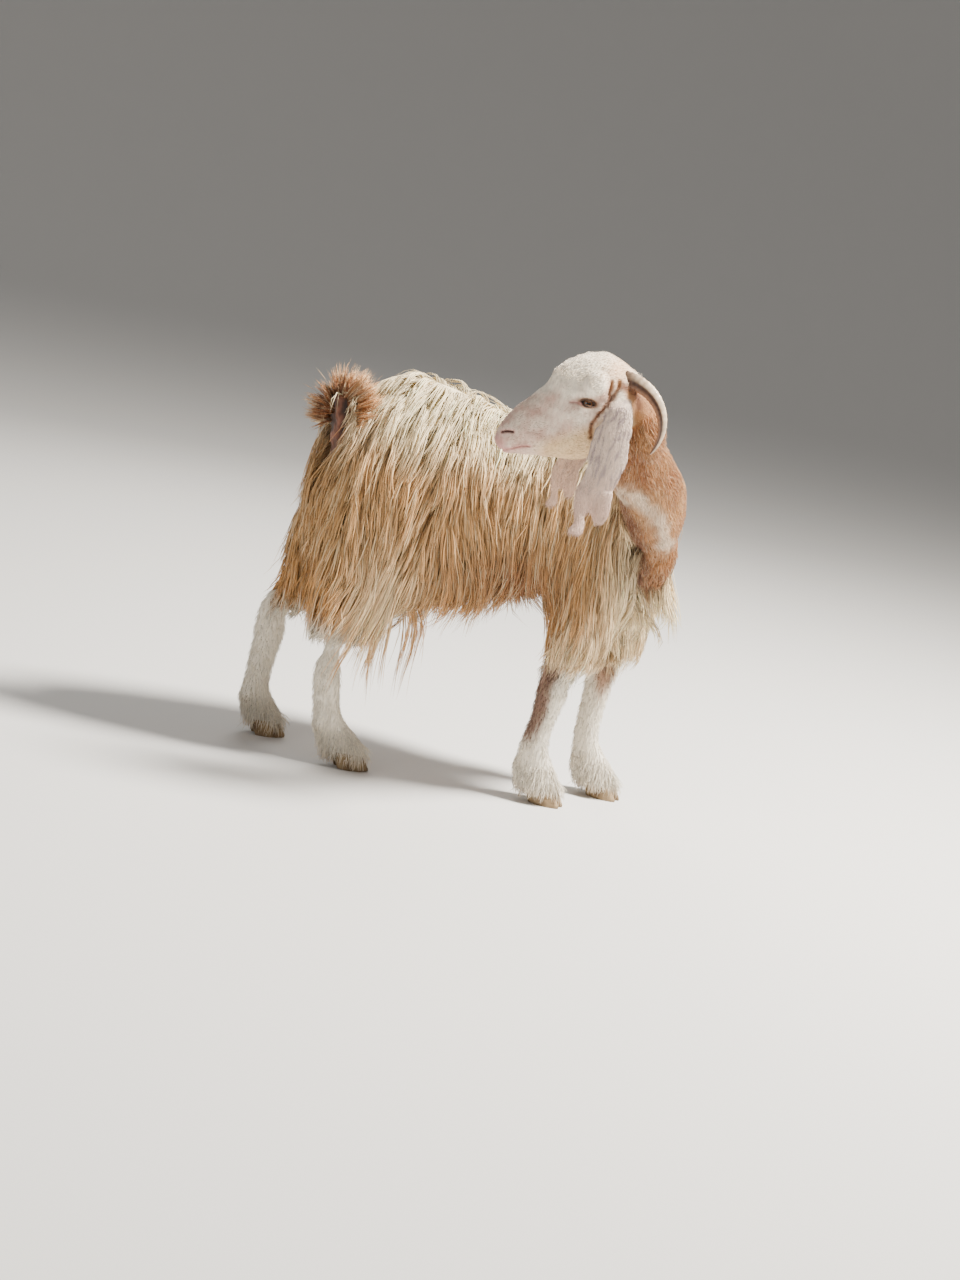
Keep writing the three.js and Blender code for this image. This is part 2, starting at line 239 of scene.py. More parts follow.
def spline(stations, count):
    """Evenly spread stations on a smooth curve through the given ones."""
    knots = np.array(stations, float)
    knots = np.vstack([2 * knots[0] - knots[1], knots, 2 * knots[-1] - knots[-2]])
    t = np.linspace(0, len(stations) - 1, count)
    i = np.minimum(t.astype(int), len(stations) - 2)
    f = (t - i)[:, None]
    a, b, c, d = (knots[i + k] for k in range(4))
    return 0.5 * (2 * b + (c - a) * f + (2 * a - 5 * b + 4 * c - d) * f**2 + (3 * b - a - 3 * c + d) * f**3)


def ripple(points, size, seed):
    """Soft waves from -1 to 1 that wander through space, about a size apart."""
    turns = np.random.default_rng(seed)
    total = np.zeros(len(points))
    for _ in range(6):
        way = turns.normal(size=3)
        way *= 2 * math.pi / size / np.linalg.norm(way)
        total += np.sin(points @ way * turns.uniform(0.6, 1.6) + turns.uniform(0, 6.3))
    return np.clip(total / 2.5, -1, 1)


def line_distance(flat, line):
    """How far points in a plane lie from a line through some others."""
    line = spline(line, 6 * len(line))
    nearest = np.full(len(flat), 1e9)
    for a, b in zip(line, line[1:]):
        along = np.clip((flat - a) @ (b - a) / ((b - a) @ (b - a)), 0, 1)
        nearest = np.minimum(nearest, np.linalg.norm(flat - a - along[:, None] * (b - a), axis=1))
    return nearest


def tube(form, rings):
    """One closed form bridged through rings of points."""
    loops = []
    for ring in rings:
        verts = bmesh.ops.create_circle(form, segments=len(ring), radius=1)["verts"]
        for vert, place in zip(verts, ring):
            vert.co = place
        loops.append(list({edge for vert in verts for edge in vert.link_edges}))
    for near, far in zip(loops, loops[1:]):
        bmesh.ops.bridge_loops(form, edges=near + far)
    for loop in (loops[0], loops[-1]):
        bmesh.ops.contextual_create(form, geom=loop)


def merged(*nodes):
    """The CAD solids of some nodes in one mesh of their own, with a list of each face's node."""
    form = bmesh.new()
    owners = []
    for node in nodes:
        form.from_mesh(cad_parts[node].data)
        owners += [node] * (len(form.faces) - len(owners))
    return form, owners


def mesh_of(form, name):
    mesh = bpy.data.meshes.new(name)
    form.to_mesh(mesh)
    form.free()
    return mesh


def nearest_kinds(points, tree, owners):
    """The kind of part that each point is nearest to, such as neck or upper."""
    nodes = (owners[tree.find_nearest(point)[2]] for point in points)
    return [
        "head" if "eye" in node else "ear" if "ear" in node else node.rsplit("_", 1)[-1] for node in nodes
    ]


solids, owners = merged(*FLESH, "eye_left", "eye_right")
cad_tree = BVHTree.FromBMesh(solids)
bmesh.ops.remove_doubles(solids, verts=solids.verts, dist=1e-5)
envelope = finished(mesh_of(solids, "envelope"), "REMESH", mode="VOXEL", voxel_size=ENVELOPE_GRAIN)

points = points_of(envelope)
edges = edges_of(envelope)
kinds = nearest_kinds(points, cad_tree, owners)
lobe = step(points[:, 0], 0.33, 0.37) * step(points[:, 2], 0.38, 0.45) * (1 - step(points[:, 2], 0.50, 0.58))
points[:, 0] -= BREAST_TRIM * lobe * (1 - 0.3 * on_apron(points))
along_back = band(points[:, 0], -0.24, -0.16, 0.16, 0.24)
along_back *= (np.array(kinds) == "trunk") * step(normals_of(envelope)[:, 2], 0.1, 0.8)
points[:, 2] += BACK_FILL * relaxed(along_back[:, None], edges, 0.5, 12)[:, 0]
set_points(envelope, points)
apron = relaxed(on_apron(points)[:, None], edges, 0.5, 5)
depth = relaxed(np.array([[COAT_DEPTH[kind]] for kind in kinds]), edges, 0.5, 30)
softness = np.clip(depth / COAT_DEPTH["upper"], 0, 1) * 0.5
points = relaxed(points, edges, softness, 25)
core = envelope.copy()
set_points(core, points)
hang = np.array([COAT_HANG.get(kind, 0) for kind in kinds])
in_front = np.isin(kinds, ("trunk", "neck")) * step(points[:, 0], 0.24, 0.30)
breast = in_front * step(-points[:, 2], -0.60, -0.42)
depth = depth + BREAST_DEPTH * relaxed(breast[:, None], edges, 0.5, 40)
breast *= np.array(kinds) == "trunk"
hang = hang * step(-normals_of(core)[:, 2], 0.1, 0.8) + BREAST_HANG * breast
lift = relaxed(hang[:, None], edges, 0.5, 60) * (1 - apron)
depth = depth + (APRON_DEPTH - depth) * apron
for _ in range(SHRINK_STEPS):
    inwards = -relaxed(normals_of(core), edges, 0.5, 6)
    points = points + (inwards * depth + lift * (0, 0, 1)) / SHRINK_STEPS
    points = relaxed(points, edges, softness, 4)
    set_points(core, points)
core = finished(core, "REMESH", mode="VOXEL", voxel_size=ENVELOPE_GRAIN)
points = points_of(core)
edges = edges_of(core)
kinds = nearest_kinds(points, cad_tree, owners)
softness = relaxed(np.array([[0.5 * (kind in ("trunk", "upper"))] for kind in kinds]), edges, 0.5, 6)
points = relaxed(points, edges, softness, 30)
apron = relaxed(on_apron(points)[:, None], edges, 0.5, 2)
front = np.interp(points[:, 2], BREAST_HEIGHTS, BREAST_FRONT) + APRON_FULLNESS * apron[:, 0]
points[:, 0] = np.where(points[:, 0] > front, front + 0.1 * (points[:, 0] - front), points[:, 0])
chest = step(points[:, 0], 0.24, 0.30) * step(points[:, 2], 0.34, 0.38)
chest *= 1 - step(points[:, 2], 0.58, 0.64)
set_points(core, relaxed(points, edges, 0.5 * chest[:, None] * (1 - 0.5 * apron), 25))

# The head's own frame: x runs towards the lips, y to the goat's left and z to the crown, from a point
# midway between the eyes. Sizes on the face are in millimetres there.
HEAD_PITCH = math.radians(30)
EYE_RADIUS = 12.5
EYE_OUT = 46.5

eye_corners = [Vector(corner) for side in ("left", "right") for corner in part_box(f"eye_{side}")]
head_middle = np.array(sum(eye_corners, Vector()) / 4)
head_axes = np.array(
    [
        (-math.cos(HEAD_PITCH), 0, -math.sin(HEAD_PITCH)),
        (0, -1, 0),
        (-math.sin(HEAD_PITCH), 0, math.cos(HEAD_PITCH)),
    ]
)


def in_head(points):
    return (points - head_middle) @ head_axes.T * 1000


def from_head(points):
    return np.asarray(points) @ head_axes / 1000 + head_middle


# The ears hang from behind the eyes: a long blade that ends in a rounded rear lobe and a narrow front
# one with a curled tip. Their stations are millimetres back, out, half across and half thick, with the
# share of the ear's length down from its root in the middle.
EAR_ROOT = (-58, 52, 8)
EAR_LENGTH = {1: 238, -1: 218}
EAR_CUP = 8
EAR_SWING = {1: 0, -1: 52}  # the far ear hangs forwards past the jaw
EAR_SPREAD = {1: 1.0, -1: 0.76}  # and is folded narrower
EAR_SIDES = 20
NAPE_MIDDLE = (-72, 0, -56)  # the full nape behind the horns
NAPE_HALVES = (0.038, 0.036, 0.072)
SOCKET_OUT = 1.5
SOCKET_RADIUS = 0.0145
HEEL_HEIGHT = 0.030
HEEL_HALVES = (0.024, 0.020, 0.020)
EAR_BLADE = [
    (8, -16, 0.04, 12, 7), (9, -6, 0.085, 16, 6), (9, 5, 0.14, 21, 4.6), (8, 12, 0.24, 27, 3.4),
    (3, 16, 0.34, 33, 3), (3, 18, 0.48, 34.5, 2.7), (0, 18, 0.62, 32, 2.6), (-9, 18, 0.74, 31, 2.6),
    (-9, 18, 0.84, 29, 2.6), (-6, 18, 0.885, 22, 2.4),
]
EAR_REAR = [(6, 17, 0.72, 19, 2.6), (9, 19, 0.84, 16, 2.6), (9, 18, 0.91, 14, 2.8), (8, 17, 0.95, 7, 2.8)]
EAR_FRONT = [
    (-22, 17, 0.72, 17, 2.6), (-25, 20, 0.84, 14, 2.6), (-25, 21, 0.91, 10, 3.2),
    (-22, 24, 0.965, 10, 3.6), (-26, 28, 1.02, 13.5, 4.2), (-28, 29, 1.05, 10, 3.4),
]


def ear_lobe(form, side, stations):
    root = from_head(np.multiply(EAR_ROOT, (1, side, 1)))
    rings = []
    for back, out, down, half, thick in spline(stations, 5 * len(stations)):
        turn = np.linspace(0, 2 * math.pi, EAR_SIDES, endpoint=False)
        across = half * EAR_SPREAD[side] * np.cos(turn)
        reach = out + thick * np.sin(turn) - EAR_CUP * (across / 36) ** 2
        back = back * EAR_SPREAD[side] - EAR_SWING[side] * step(down, 0, 0.75)
        drop = np.full(EAR_SIDES, down * EAR_LENGTH[side])
        rings.append(root + np.stack([back + across, -side * reach, -drop], 1) / 1000)
    tube(form, rings)


body = bmesh.new()
body.from_mesh(core)
head_form, _ = merged("head")
bmesh.ops.remove_doubles(head_form, verts=head_form.verts, dist=1e-5)
body.from_mesh(mesh_of(head_form, "head_form"))
ears = bmesh.new()
for side in (1, -1):
    socket = Matrix.Translation(from_head((0, side * (EYE_OUT + SOCKET_OUT), 0)))
    bmesh.ops.create_icosphere(body, subdivisions=3, radius=SOCKET_RADIUS, matrix=socket)
    for stations in (EAR_BLADE, EAR_REAR, EAR_FRONT):
        ear_lobe(ears, side, stations)
head_turn = Matrix(head_axes.tolist()).transposed().to_4x4()
nape = Matrix.Translation(from_head(NAPE_MIDDLE)) @ head_turn @ Matrix.Diagonal((*NAPE_HALVES, 1))
bmesh.ops.create_icosphere(body, subdivisions=4, radius=1, matrix=nape)
for leg in LEGS:
    corners = [Vector(corner) for half in ("inner", "outer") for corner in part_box(f"claw_{leg}_{half}")]
    middle = sum(corners, Vector()) / 4
    middle.z = HEEL_HEIGHT
    heel = Matrix.Translation(middle) @ Matrix.Diagonal((*HEEL_HALVES, 1))
    bmesh.ops.create_icosphere(body, subdivisions=3, radius=1, matrix=heel)
ear_lobes = mesh_of(ears, "ear_lobes")
body.from_mesh(ear_lobes)
bmesh.ops.recalc_face_normals(body, faces=body.faces)
hide = finished(mesh_of(body, "hide"), "REMESH", mode="VOXEL", voxel_size=SKIN_GRAIN)

# Each point of the hide knows the part that it belongs to.
parts, part_of_face = merged(*FLESH, "eye_left", "eye_right")
parts.from_mesh(ear_lobes)
part_of_face += ["ear_lobe"] * len(ear_lobes.polygons)
part_tree = BVHTree.FromBMesh(parts)
parts.free()
KINDS = ("trunk", "neck", "head", "tail", "upper", "lower", "ear")


def kinds_at(points):
    return np.array([KINDS.index(kind) for kind in nearest_kinds(points, part_tree, part_of_face)])


def are(kinds, name):
    return kinds == KINDS.index(name)


def side_view(points):
    return points[:, (0, 2)]


points = points_of(hide)
edges = edges_of(hide)
kinds = kinds_at(points)
head_share = relaxed(are(kinds, "head").astype(float)[:, None], edges, 0.5, 4)[:, 0]
ear_share = relaxed(are(kinds, "ear").astype(float)[:, None], edges, 0.5, 4)[:, 0]
points = relaxed(points, edges, 0.5 * np.maximum(0.35 * ear_share, 1 - ear_share), 14)
points = relaxed(points, edges, 0.5 * head_share * (1 - ear_share), 22)
set_points(hide, points)

# Under the raised tail the hide is bare: a hollow with long folds down it, painted nearly black, partly
# as its dark bare skin and partly as painted shade between the folds.
TAIL_FACE = np.array([-0.864, -0.504, 0.0])  # the way that the tail's underside looks
TAIL_SIDE = np.array([-0.504, 0.864, 0.0])
HOLLOW_LINE = [(-0.290, 0.664), (-0.275, 0.630), (-0.284, 0.595), (-0.292, 0.560)]
FOLD_LINE = [(-0.288, 0.668), (-0.284, 0.640), (-0.281, 0.605), (-0.293, 0.580), (-0.300, 0.560)]


def tail_hollow(points, normals):
    """How far points belong to the bare hollow, and how near they are to the fold down its middle."""
    flat = side_view(points)
    wander = ripple(points, 0.02, 18)
    inside = 1 - step(line_distance(flat, HOLLOW_LINE) + 0.006 * wander, 0.016, 0.027)
    inside *= step(normals @ TAIL_FACE, 0.1, 0.45) * step(points[:, 1], -0.11, -0.09)
    fold = bell(line_distance(flat, FOLD_LINE) + 0.003 * wander, 0.007)
    return inside * (points[:, 1] < 0.05), fold


# Where long hair hides it the hide is coarser, and round the eyes, nostrils and lips finer.
HIDDEN_SHARE = 0.17  # of the faces that are kept where hair hides them

plain = placed("plain", hide)
group = plain.vertex_groups.new(name="plain")
covered = step(1 - head_share - ear_share, 0.6, 1.0)
covered *= tail_hollow(points, normals_of(hide))[0] < 0.05
for index in np.flatnonzero(covered > 0.5):
    group.add([int(index)], 1.0, "REPLACE")
thinned = plain.modifiers.new("thinned", "DECIMATE")
thinned.vertex_group = "plain"
thinned.ratio = HIDDEN_SHARE
hide = bpy.data.meshes.new_from_object(plain.evaluated_get(bpy.context.evaluated_depsgraph_get()))
bpy.data.objects.remove(plain)


def finer(mesh, middle, radius):
    """Halves the mesh's edges round a point of the head."""
    form = bmesh.new()
    form.from_mesh(mesh)
    near = in_head(points_of(mesh)) - middle
    near = np.linalg.norm(near, axis=1) < radius
    chosen = [edge for edge in form.edges if near[edge.verts[0].index] and near[edge.verts[1].index]]
    bmesh.ops.subdivide_edges(form, edges=chosen, cuts=1, use_grid_fill=True)
    bmesh.ops.triangulate(form, faces=[face for face in form.faces if len(face.verts) > 4])
    return mesh_of(form, "hide")


for side in (1, -1):
    hide = finer(hide, (0, side * EYE_OUT, 0), 30)
    hide = finer(hide, (0, side * EYE_OUT, 0), 23)
hide = finer(hide, (150, 0, -15), 48)

# The face: creases are cut in along lines across the side of the head, and swellings raised.
# Lines are [forwards, up] in millimetres.
MOUTH_LINE = [(114, -36.5), (127, -32.5), (142, -30.5), (158, -28.5), (180, -26)]
NOSTRIL_LINE = [(150.5, 1.5), (144, 0.5), (138, -1.5), (133, -4)]
EAR_CREASE = [(-62, 20), (-55, 8), (-42, -3), (-30, -10), (-14, -20), (-1, -29), (9, -42), (12, -54)]
EAR_CREASE_FORK = [(-50, 22), (-42, 8), (-34, -8), (-30, -14)]
TEAR_LINE = [(11, 5), (18, 10), (26, 13)]
SWELLINGS = [  # [forwards, out, up, radius, height]
    (24, 40, -10, 22, 1.4), (-8, 46, -34, 26, 2.2),  # cheek and jaw
    (152, 22, 6, 9, 1.6), (128, 24, 2, 9, 1.2),  # wings of the nostril
    (150, 14, -22, 12, 1.2), (150, 12, -38, 12, 1.0),  # lips
]
SIDE_SWELLINGS = [  # [forwards, up, radius, height, steepness] on the side of the head
    (-25, 27, 18, 14.0, 6), (-3, 19, 9, 3.5, 2),  # brow
    (-42, 2, 9, -4.5, 2), (-24, -2, 9, -3.5, 2), (17, 14, 9, -3.0, 2),  # hollows behind and before the eye
    (34, -8, 16, 2.0, 2), (70, -4, 22, -2.2, 2), (4, -22, 9, -1.6, 2),  # cheekbone, and under it
]
CREASE_DEPTH = 5.0
FOLD_RISE = 4.0


def ear_crease(place, width, unrest, lag=0.0):
    """How near places of the head are to the crease before the ear, whose fork lags behind it."""
    flat = side_view(place)
    on_side = np.abs(place[:, 1])
    away = np.minimum(line_distance(flat, EAR_CREASE), line_distance(flat, EAR_CREASE_FORK) + lag)
    crease = bell(away + unrest * ripple(place, 9, 5), width) * step(on_side, 25, 34)
    return crease * (1 - step(on_side, 62, 68))


points = points_of(hide)
place = in_head(points)
near_head = np.linalg.norm(place - (30, 0, -10), axis=1) < 190
on_side = np.abs(place[:, 1])
flat = side_view(place)
cuts = 2.4 * bell(line_distance(flat, MOUTH_LINE), 1.5)
cuts += 4.5 * bell(line_distance(flat, NOSTRIL_LINE), 1.8) * step(on_side, 5, 12)
crease = ear_crease(place, 2.8, 0.8, 0.8)
cuts += CREASE_DEPTH * crease
cuts += 1.2 * bell(line_distance(flat, TEAR_LINE), 1.8) * step(on_side, 25, 34)
raised = -cuts
for forwards, out, up, radius, height in SWELLINGS:
    away = np.stack([place[:, 0] - forwards, on_side - out, place[:, 2] - up], 1)
    raised += height * bell(np.linalg.norm(away, axis=1), radius)
for forwards, up, radius, height, steepness in SIDE_SWELLINGS:
    away = np.linalg.norm(flat - (forwards, up), axis=1)
    raised += height * np.exp(-((away / radius) ** steepness)) * step(on_side, 16, 32)
raised += 0.35 * ripple(place, 26, 7)
normals = normals_of(hide)
shaped = near_head & (are(kinds_at(points), "head") | (crease > 0.1))
bare, fold = tail_hollow(points, normals)
raised = raised * shaped + FOLD_RISE * bare * (fold - 0.4)
points = points + normals * raised[:, None] / 1000

# The lids: round each eye the hide is laid on a ball a little larger than the eyeball, and dips behind
# the eyeball inside a slit that lies level.
LID_THICKNESS = 1.7
SLIT_HALF = 12.5
SLIT_ABOVE = 5.2
SLIT_BELOW = 4.2
SLIT_RAISE = 2.2
LID_REACH = 10.5
LID_DIP = 5.0

for side in (1, -1):
    centre = from_head((0, side * EYE_OUT, 0))
    away = (points - centre) * 1000
    distance = np.linalg.norm(away, axis=1)
    facing = away * (-1, -side, 1) / np.maximum(distance, 1e-6)[:, None]
    across = np.arctan2(facing[:, 0], facing[:, 1]) * EYE_RADIUS
    above = np.arctan2(facing[:, 2], np.hypot(facing[:, 0], facing[:, 1])) * EYE_RADIUS
    above = above - SLIT_RAISE - 0.06 * across
    open_here = np.clip(1 - (across / SLIT_HALF) ** 2, 0, 1) ** 0.75
    beyond = np.maximum(above - SLIT_ABOVE * open_here, -above - SLIT_BELOW * open_here)
    beyond = np.where(np.abs(across) > SLIT_HALF, np.hypot(np.abs(across) - SLIT_HALF, above), beyond)
    lid = EYE_RADIUS + LID_THICKNESS - LID_DIP * (1 - step(beyond, -1.1, 0.5))
    lid += 0.5 * bell(beyond - 1.6, 1.3) - 0.9 * bell(beyond - 5.2, 1.2)  # a rim, and a fold behind it
    spread = np.hypot(0.75 * across, above)
    held = (1 - step(spread, LID_REACH, LID_REACH + 6)) * (1 - step(distance, 18, 25))
    held *= facing[:, 1] > 0.05
    points = points + away * (held * (lid / np.maximum(distance, 1e-6) - 1))[:, None] / 1000
set_points(hide, points)


def smooth(mesh):
    mesh.polygons.foreach_set("use_smooth", [True] * len(mesh.polygons))


skin = placed("skin", hide)
smooth(hide)
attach(skin, "root")
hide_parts(*FLESH, "ear_left", "ear_right")

# The colours, which the hide and the hair on it share: cream along the back, gold on the flanks and
# thighs, rust on the neck and under the belly, white on the head and shanks.


def tint(red, green, blue):
    """A colour given as it looks, from 0 to 255, as amounts of light."""
    return (np.array([red, green, blue]) / 255) ** 2.2


CREAM = tint(242, 224, 184)
# GOLD and HONEY are darker than the coat's own gold, partly as painted shade of the flanks.
GOLD = tint(206, 160, 106)
HONEY = tint(216, 154, 86)
RUST = tint(144, 92, 54)
DARK_RUST = tint(104, 64, 44)
NECK_TAN = tint(188, 140, 92)
BREAST_CREAM = tint(246, 222, 180)
WHITE = tint(234, 225, 208)
FACE_WHITE = tint(242, 230, 211)
SHADE_PINK = tint(196, 160, 145)
BROW_SHADE = tint(190, 150, 130)
LIP_PINK = tint(186, 134, 128)
JAW_YELLOW = tint(212, 180, 134)
THROAT_CREAM_AND_HIGHLIGHT = tint(228, 208, 184)
EAR_WHITE = tint(220, 202, 188)
EAR_PINK = tint(206, 168, 150)
EAR_LILAC = tint(150, 132, 134)
FAR_EAR_SHADE = tint(200, 166, 140)
TAIL_BROWN = tint(154, 98, 58)
TAIL_TIPS = tint(218, 168, 114)
TAIL_BLAZE = tint(204, 134, 78)
NEARLY_BLACK = tint(42, 28, 24)
NOSTRIL_SHADE = tint(74, 42, 38)
FOLD_PINK = tint(132, 86, 68)
THROAT_STREAK = [(0.232, 0.606), (0.269, 0.589), (0.305, 0.562), (0.328, 0.521)]
EAR_SHADE = [(-66, 8), (-77, -4), (-82, -18), (-79, -34)]
KNEE_STRIPE = [(0.185, 0.335), (0.176, 0.26), (0.168, 0.19), (0.160, 0.125)]
KNEE_PATCH = (0.283, 0.228)
KNEE_HEIGHT = 0.25  # short white hair starts below it
# Blots are [forwards, up, half length, half height].
ELBOW = (0.085, 0.39, 0.07, 0.04)
STIFLE = (-0.150, 0.28, 0.06, 0.09)
TAIL_SIDES = (-0.272, 0.6, 0.05, 0.05)
BLAZE = (-0.232, 0.648, 0.024, 0.022)
TAIL_MIDDLE = np.array([-0.285, 0.009, 0.628])
# Where painted shade gathers at the ear's root, in the head's frame.
EAR_ROOT_SHADE = (-64, 9)
BROW_MIDDLE = (-24, 26)
POLL = (-70, 34)


def mixed(colour, other, share):
    return colour + (other - colour) * np.clip(share, 0, 1)[:, None]


def blot(points, forwards, up, half_length, half_height):
    x, _, z = points.T
    return np.exp(-(((x - forwards) / half_length) ** 2) - ((z - up) / half_height) ** 2)


def away_from(points, spot):
    """How far points lie from a spot across the side of the goat or its head."""
    return np.hypot(points[:, 0] - spot[0], points[:, 2] - spot[1])


def on_right(points):
    return step(-points[:, 1], -0.01, 0.03)


def body_colour(points, drift):
    x, _, z = points.T
    low = z + 0.02 * drift
    # Cream along the back grades to gold and then honey lower down: the coat's own colours, darkened down
    # the flanks partly as painted shade.
    colour = mixed(CREAM, GOLD, 1 - step(low, 0.53, 0.64))
    colour = mixed(colour, HONEY, 0.7 * (1 - step(low, 0.27, 0.37)))
    colour = mixed(colour, RUST, 0.95 * blot(points, *ELBOW))
    colour = mixed(colour, RUST, 0.35 * bell(z - 0.37, 0.06) * band(x, -0.12, -0.04, 0.16, 0.22))
    colour = mixed(colour, BREAST_CREAM, step(x, 0.2, 0.3) * (1 - step(z, 0.5, 0.6)))
    colour = mixed(colour, BREAST_CREAM, 0.8 * blot(points, *STIFLE))
    return mixed(colour, RUST, 0.6 * blot(points, *TAIL_SIDES))


# Painted shade in the fold between the ear's rear edge and the neck.
def shade_behind_ear(place):
    return bell(line_distance(side_view(place), EAR_SHADE), 7) * step(place[:, 1], 5, 20)


def neck_colour(points, place, drift, mottle):
    colour = mixed(NECK_TAN, RUST, 0.5 + 0.35 * drift + 0.25 * mottle)
    colour = mixed(colour, RUST, 0.7 * (1 - step(points[:, 2], 0.44, 0.55)))
    # A dark band along the apron's rear edge is partly its dark fringe of hair and partly painted shadow
    # where the apron stands out; the pale streak down the throat is partly paler hair and partly painted
    # highlight.
    fringe_and_shadow = line_distance(side_view(points), NECK_EDGE) + 0.006 * mottle
    colour = mixed(colour, DARK_RUST, 0.85 * (1 - step(fringe_and_shadow, 0.005, 0.022)) * on_right(points))
    streak_and_highlight = line_distance(side_view(points), THROAT_STREAK) + 0.007 * mottle
    colour = mixed(colour, THROAT_CREAM_AND_HIGHLIGHT, 0.85 * (1 - step(streak_and_highlight, 0.004, 0.019)) * on_right(points))
    return mixed(colour, DARK_RUST, 0.9 * shade_behind_ear(place))


def neck_share(points, kinds, mottle):
    """How far points take the neck's colours, which its apron carries down over the breast."""
    z = points[:, 2]
    body_side = (1 - step(z, 0.59, 0.61)) * (1 - step(past(NECK_EDGE, points, 0.004 * mottle), -0.012, 0))
    throat = are(kinds, "neck") * step(z + 0.01 * mottle, 0.43, 0.49) * (1 - on_right(points) * body_side)
    apron = on_apron(points + 0.004 * mottle[:, None])
    tip = on_apron(points * (1, 0, 1) - (0, 0.1, 0)) * (z < 0.46)
    apron = np.maximum(apron, tip) * (are(kinds, "neck") | are(kinds, "trunk"))
    return np.maximum(throat, apron)


def thigh_colour(points, drift):
    x, _, z = points.T
    colour = mixed(GOLD, HONEY, 0.5 + 0.5 * drift)
    colour = mixed(colour, RUST, 0.5 * (1 - step(z, 0.22, 0.32)) * step(drift, -0.3, 0.6))
    colour = mixed(colour, BREAST_CREAM, step(x, 0.1, 0.2) * 0.7)
    return mixed(colour, BREAST_CREAM, 0.8 * blot(points, *STIFLE))


def shank_colour(points, mottle):
    """White, with a brown stripe down the right knee and a patch on the left one."""
    x, y, z = points.T
    stripe = line_distance(side_view(points), KNEE_STRIPE) + 0.004 * mottle
    stripe = (1 - step(stripe, 0.012, 0.022)) * (x > 0.1) * step(-y, -0.04, -0.01)
    colour = mixed(WHITE, DARK_RUST, 0.9 * stripe)
    patch = np.hypot(x - KNEE_PATCH[0], (z - KNEE_PATCH[1]) * 0.6) + 0.004 * mottle
    colour = mixed(colour, RUST, 0.8 * (1 - step(patch, 0.012, 0.024)) * (y > 0.05))
    return mixed(colour, GOLD, 0.35 * (1 - step(z, 0.0, 0.03)))


def face_colour(points, place, drift):
    """White, with bare pink lips, a yellower jaw and rust round the eyes and at the poll, with painted shade
    on the face below the crown, under the brow, in the crease and behind the ear.
    """
    forwards, out, up = place.T
    on_side = np.abs(out)
    flat = side_view(place)
    # The front and lower face are painted pink-grey, partly the skin's own pink and partly painted shade
    # under a white crown that the light falls on.
    pink_and_painted_shade = 0.40 + 0.26 * ripple(place, 34, 8) + 0.14 * ripple(place, 11, 14)
    pink_and_painted_shade += 0.3 * step(forwards, -10, 90) - 0.6 * step(up - 0.35 * forwards, 8, 34)
    colour = mixed(FACE_WHITE, SHADE_PINK, pink_and_painted_shade)
    # A ring under and behind the brow's swelling is painted brown as shade.
    painted_brow_shade = bell(away_from(place, BROW_MIDDLE) - 22, 6) * step(on_side, 25, 34)
    colour = mixed(colour, BROW_SHADE, 0.6 * painted_brow_shade * step(20 - up - 0.2 * forwards, 0, 20))
    colour = mixed(colour, JAW_YELLOW, 0.85 * step(-up, 22, 50) * (1 - step(forwards, 80, 130)))
    colour = mixed(colour, LIP_PINK, 0.85 * step(forwards - 0.3 * up, 150, 168))
    colour = mixed(colour, LIP_PINK, 0.9 * bell(line_distance(flat, MOUTH_LINE), 3.2))
    # Bare pink skin round the nostril, and its slit painted dark brown as shade in the opening.
    nostril = line_distance(flat, NOSTRIL_LINE)
    colour = mixed(colour, LIP_PINK, 0.7 * bell(nostril, 5.5) * step(on_side, 5, 12))
    colour = mixed(colour, NOSTRIL_SHADE, 1.2 * bell(nostril, 1.9) * step(on_side, 5, 12))
    # The crease before the ear is painted rust, and dark rust where it is deepest and at the ear's root:
    # painted shade in the fold and where the ear meets the head.
    crease = ear_crease(place, 4.2, 1.2)
    colour = mixed(colour, RUST, 0.95 * crease)
    crease_shade = np.maximum(crease**3, bell(away_from(place, EAR_ROOT_SHADE), 10))
    colour = mixed(colour, DARK_RUST, 0.8 * crease_shade)
    from_eye = side_view(points - head_middle) * 1000 - (0, SLIT_RAISE)
    rim = np.hypot(from_eye[:, 0] / (SLIT_HALF + 1), from_eye[:, 1] / (SLIT_ABOVE + 1.5))
    colour = mixed(colour, RUST, 0.85 * (1 - step(rim, 0.95, 1.7)) * step(on_side, 40, 50))
    colour = mixed(colour, NEARLY_BLACK, 0.9 * (1 - step(rim, 0.85, 1.32)) * step(on_side, 40, 50))
    tear = bell(line_distance(flat, TEAR_LINE), 2.6) * step(on_side, 25, 34)
    colour = mixed(colour, LIP_PINK, 0.7 * tear)
    colour = mixed(colour, HONEY, 0.55 * bell(away_from(place, POLL), 26))
    nape_share = step(-forwards, 58, 70) * (1 - step(up, 0, 14))
    colour = mixed(colour, mixed(NECK_TAN, RUST, 0.4 + 0.35 * drift), 0.95 * nape_share)
    return mixed(colour, DARK_RUST, 0.9 * shade_behind_ear(place))


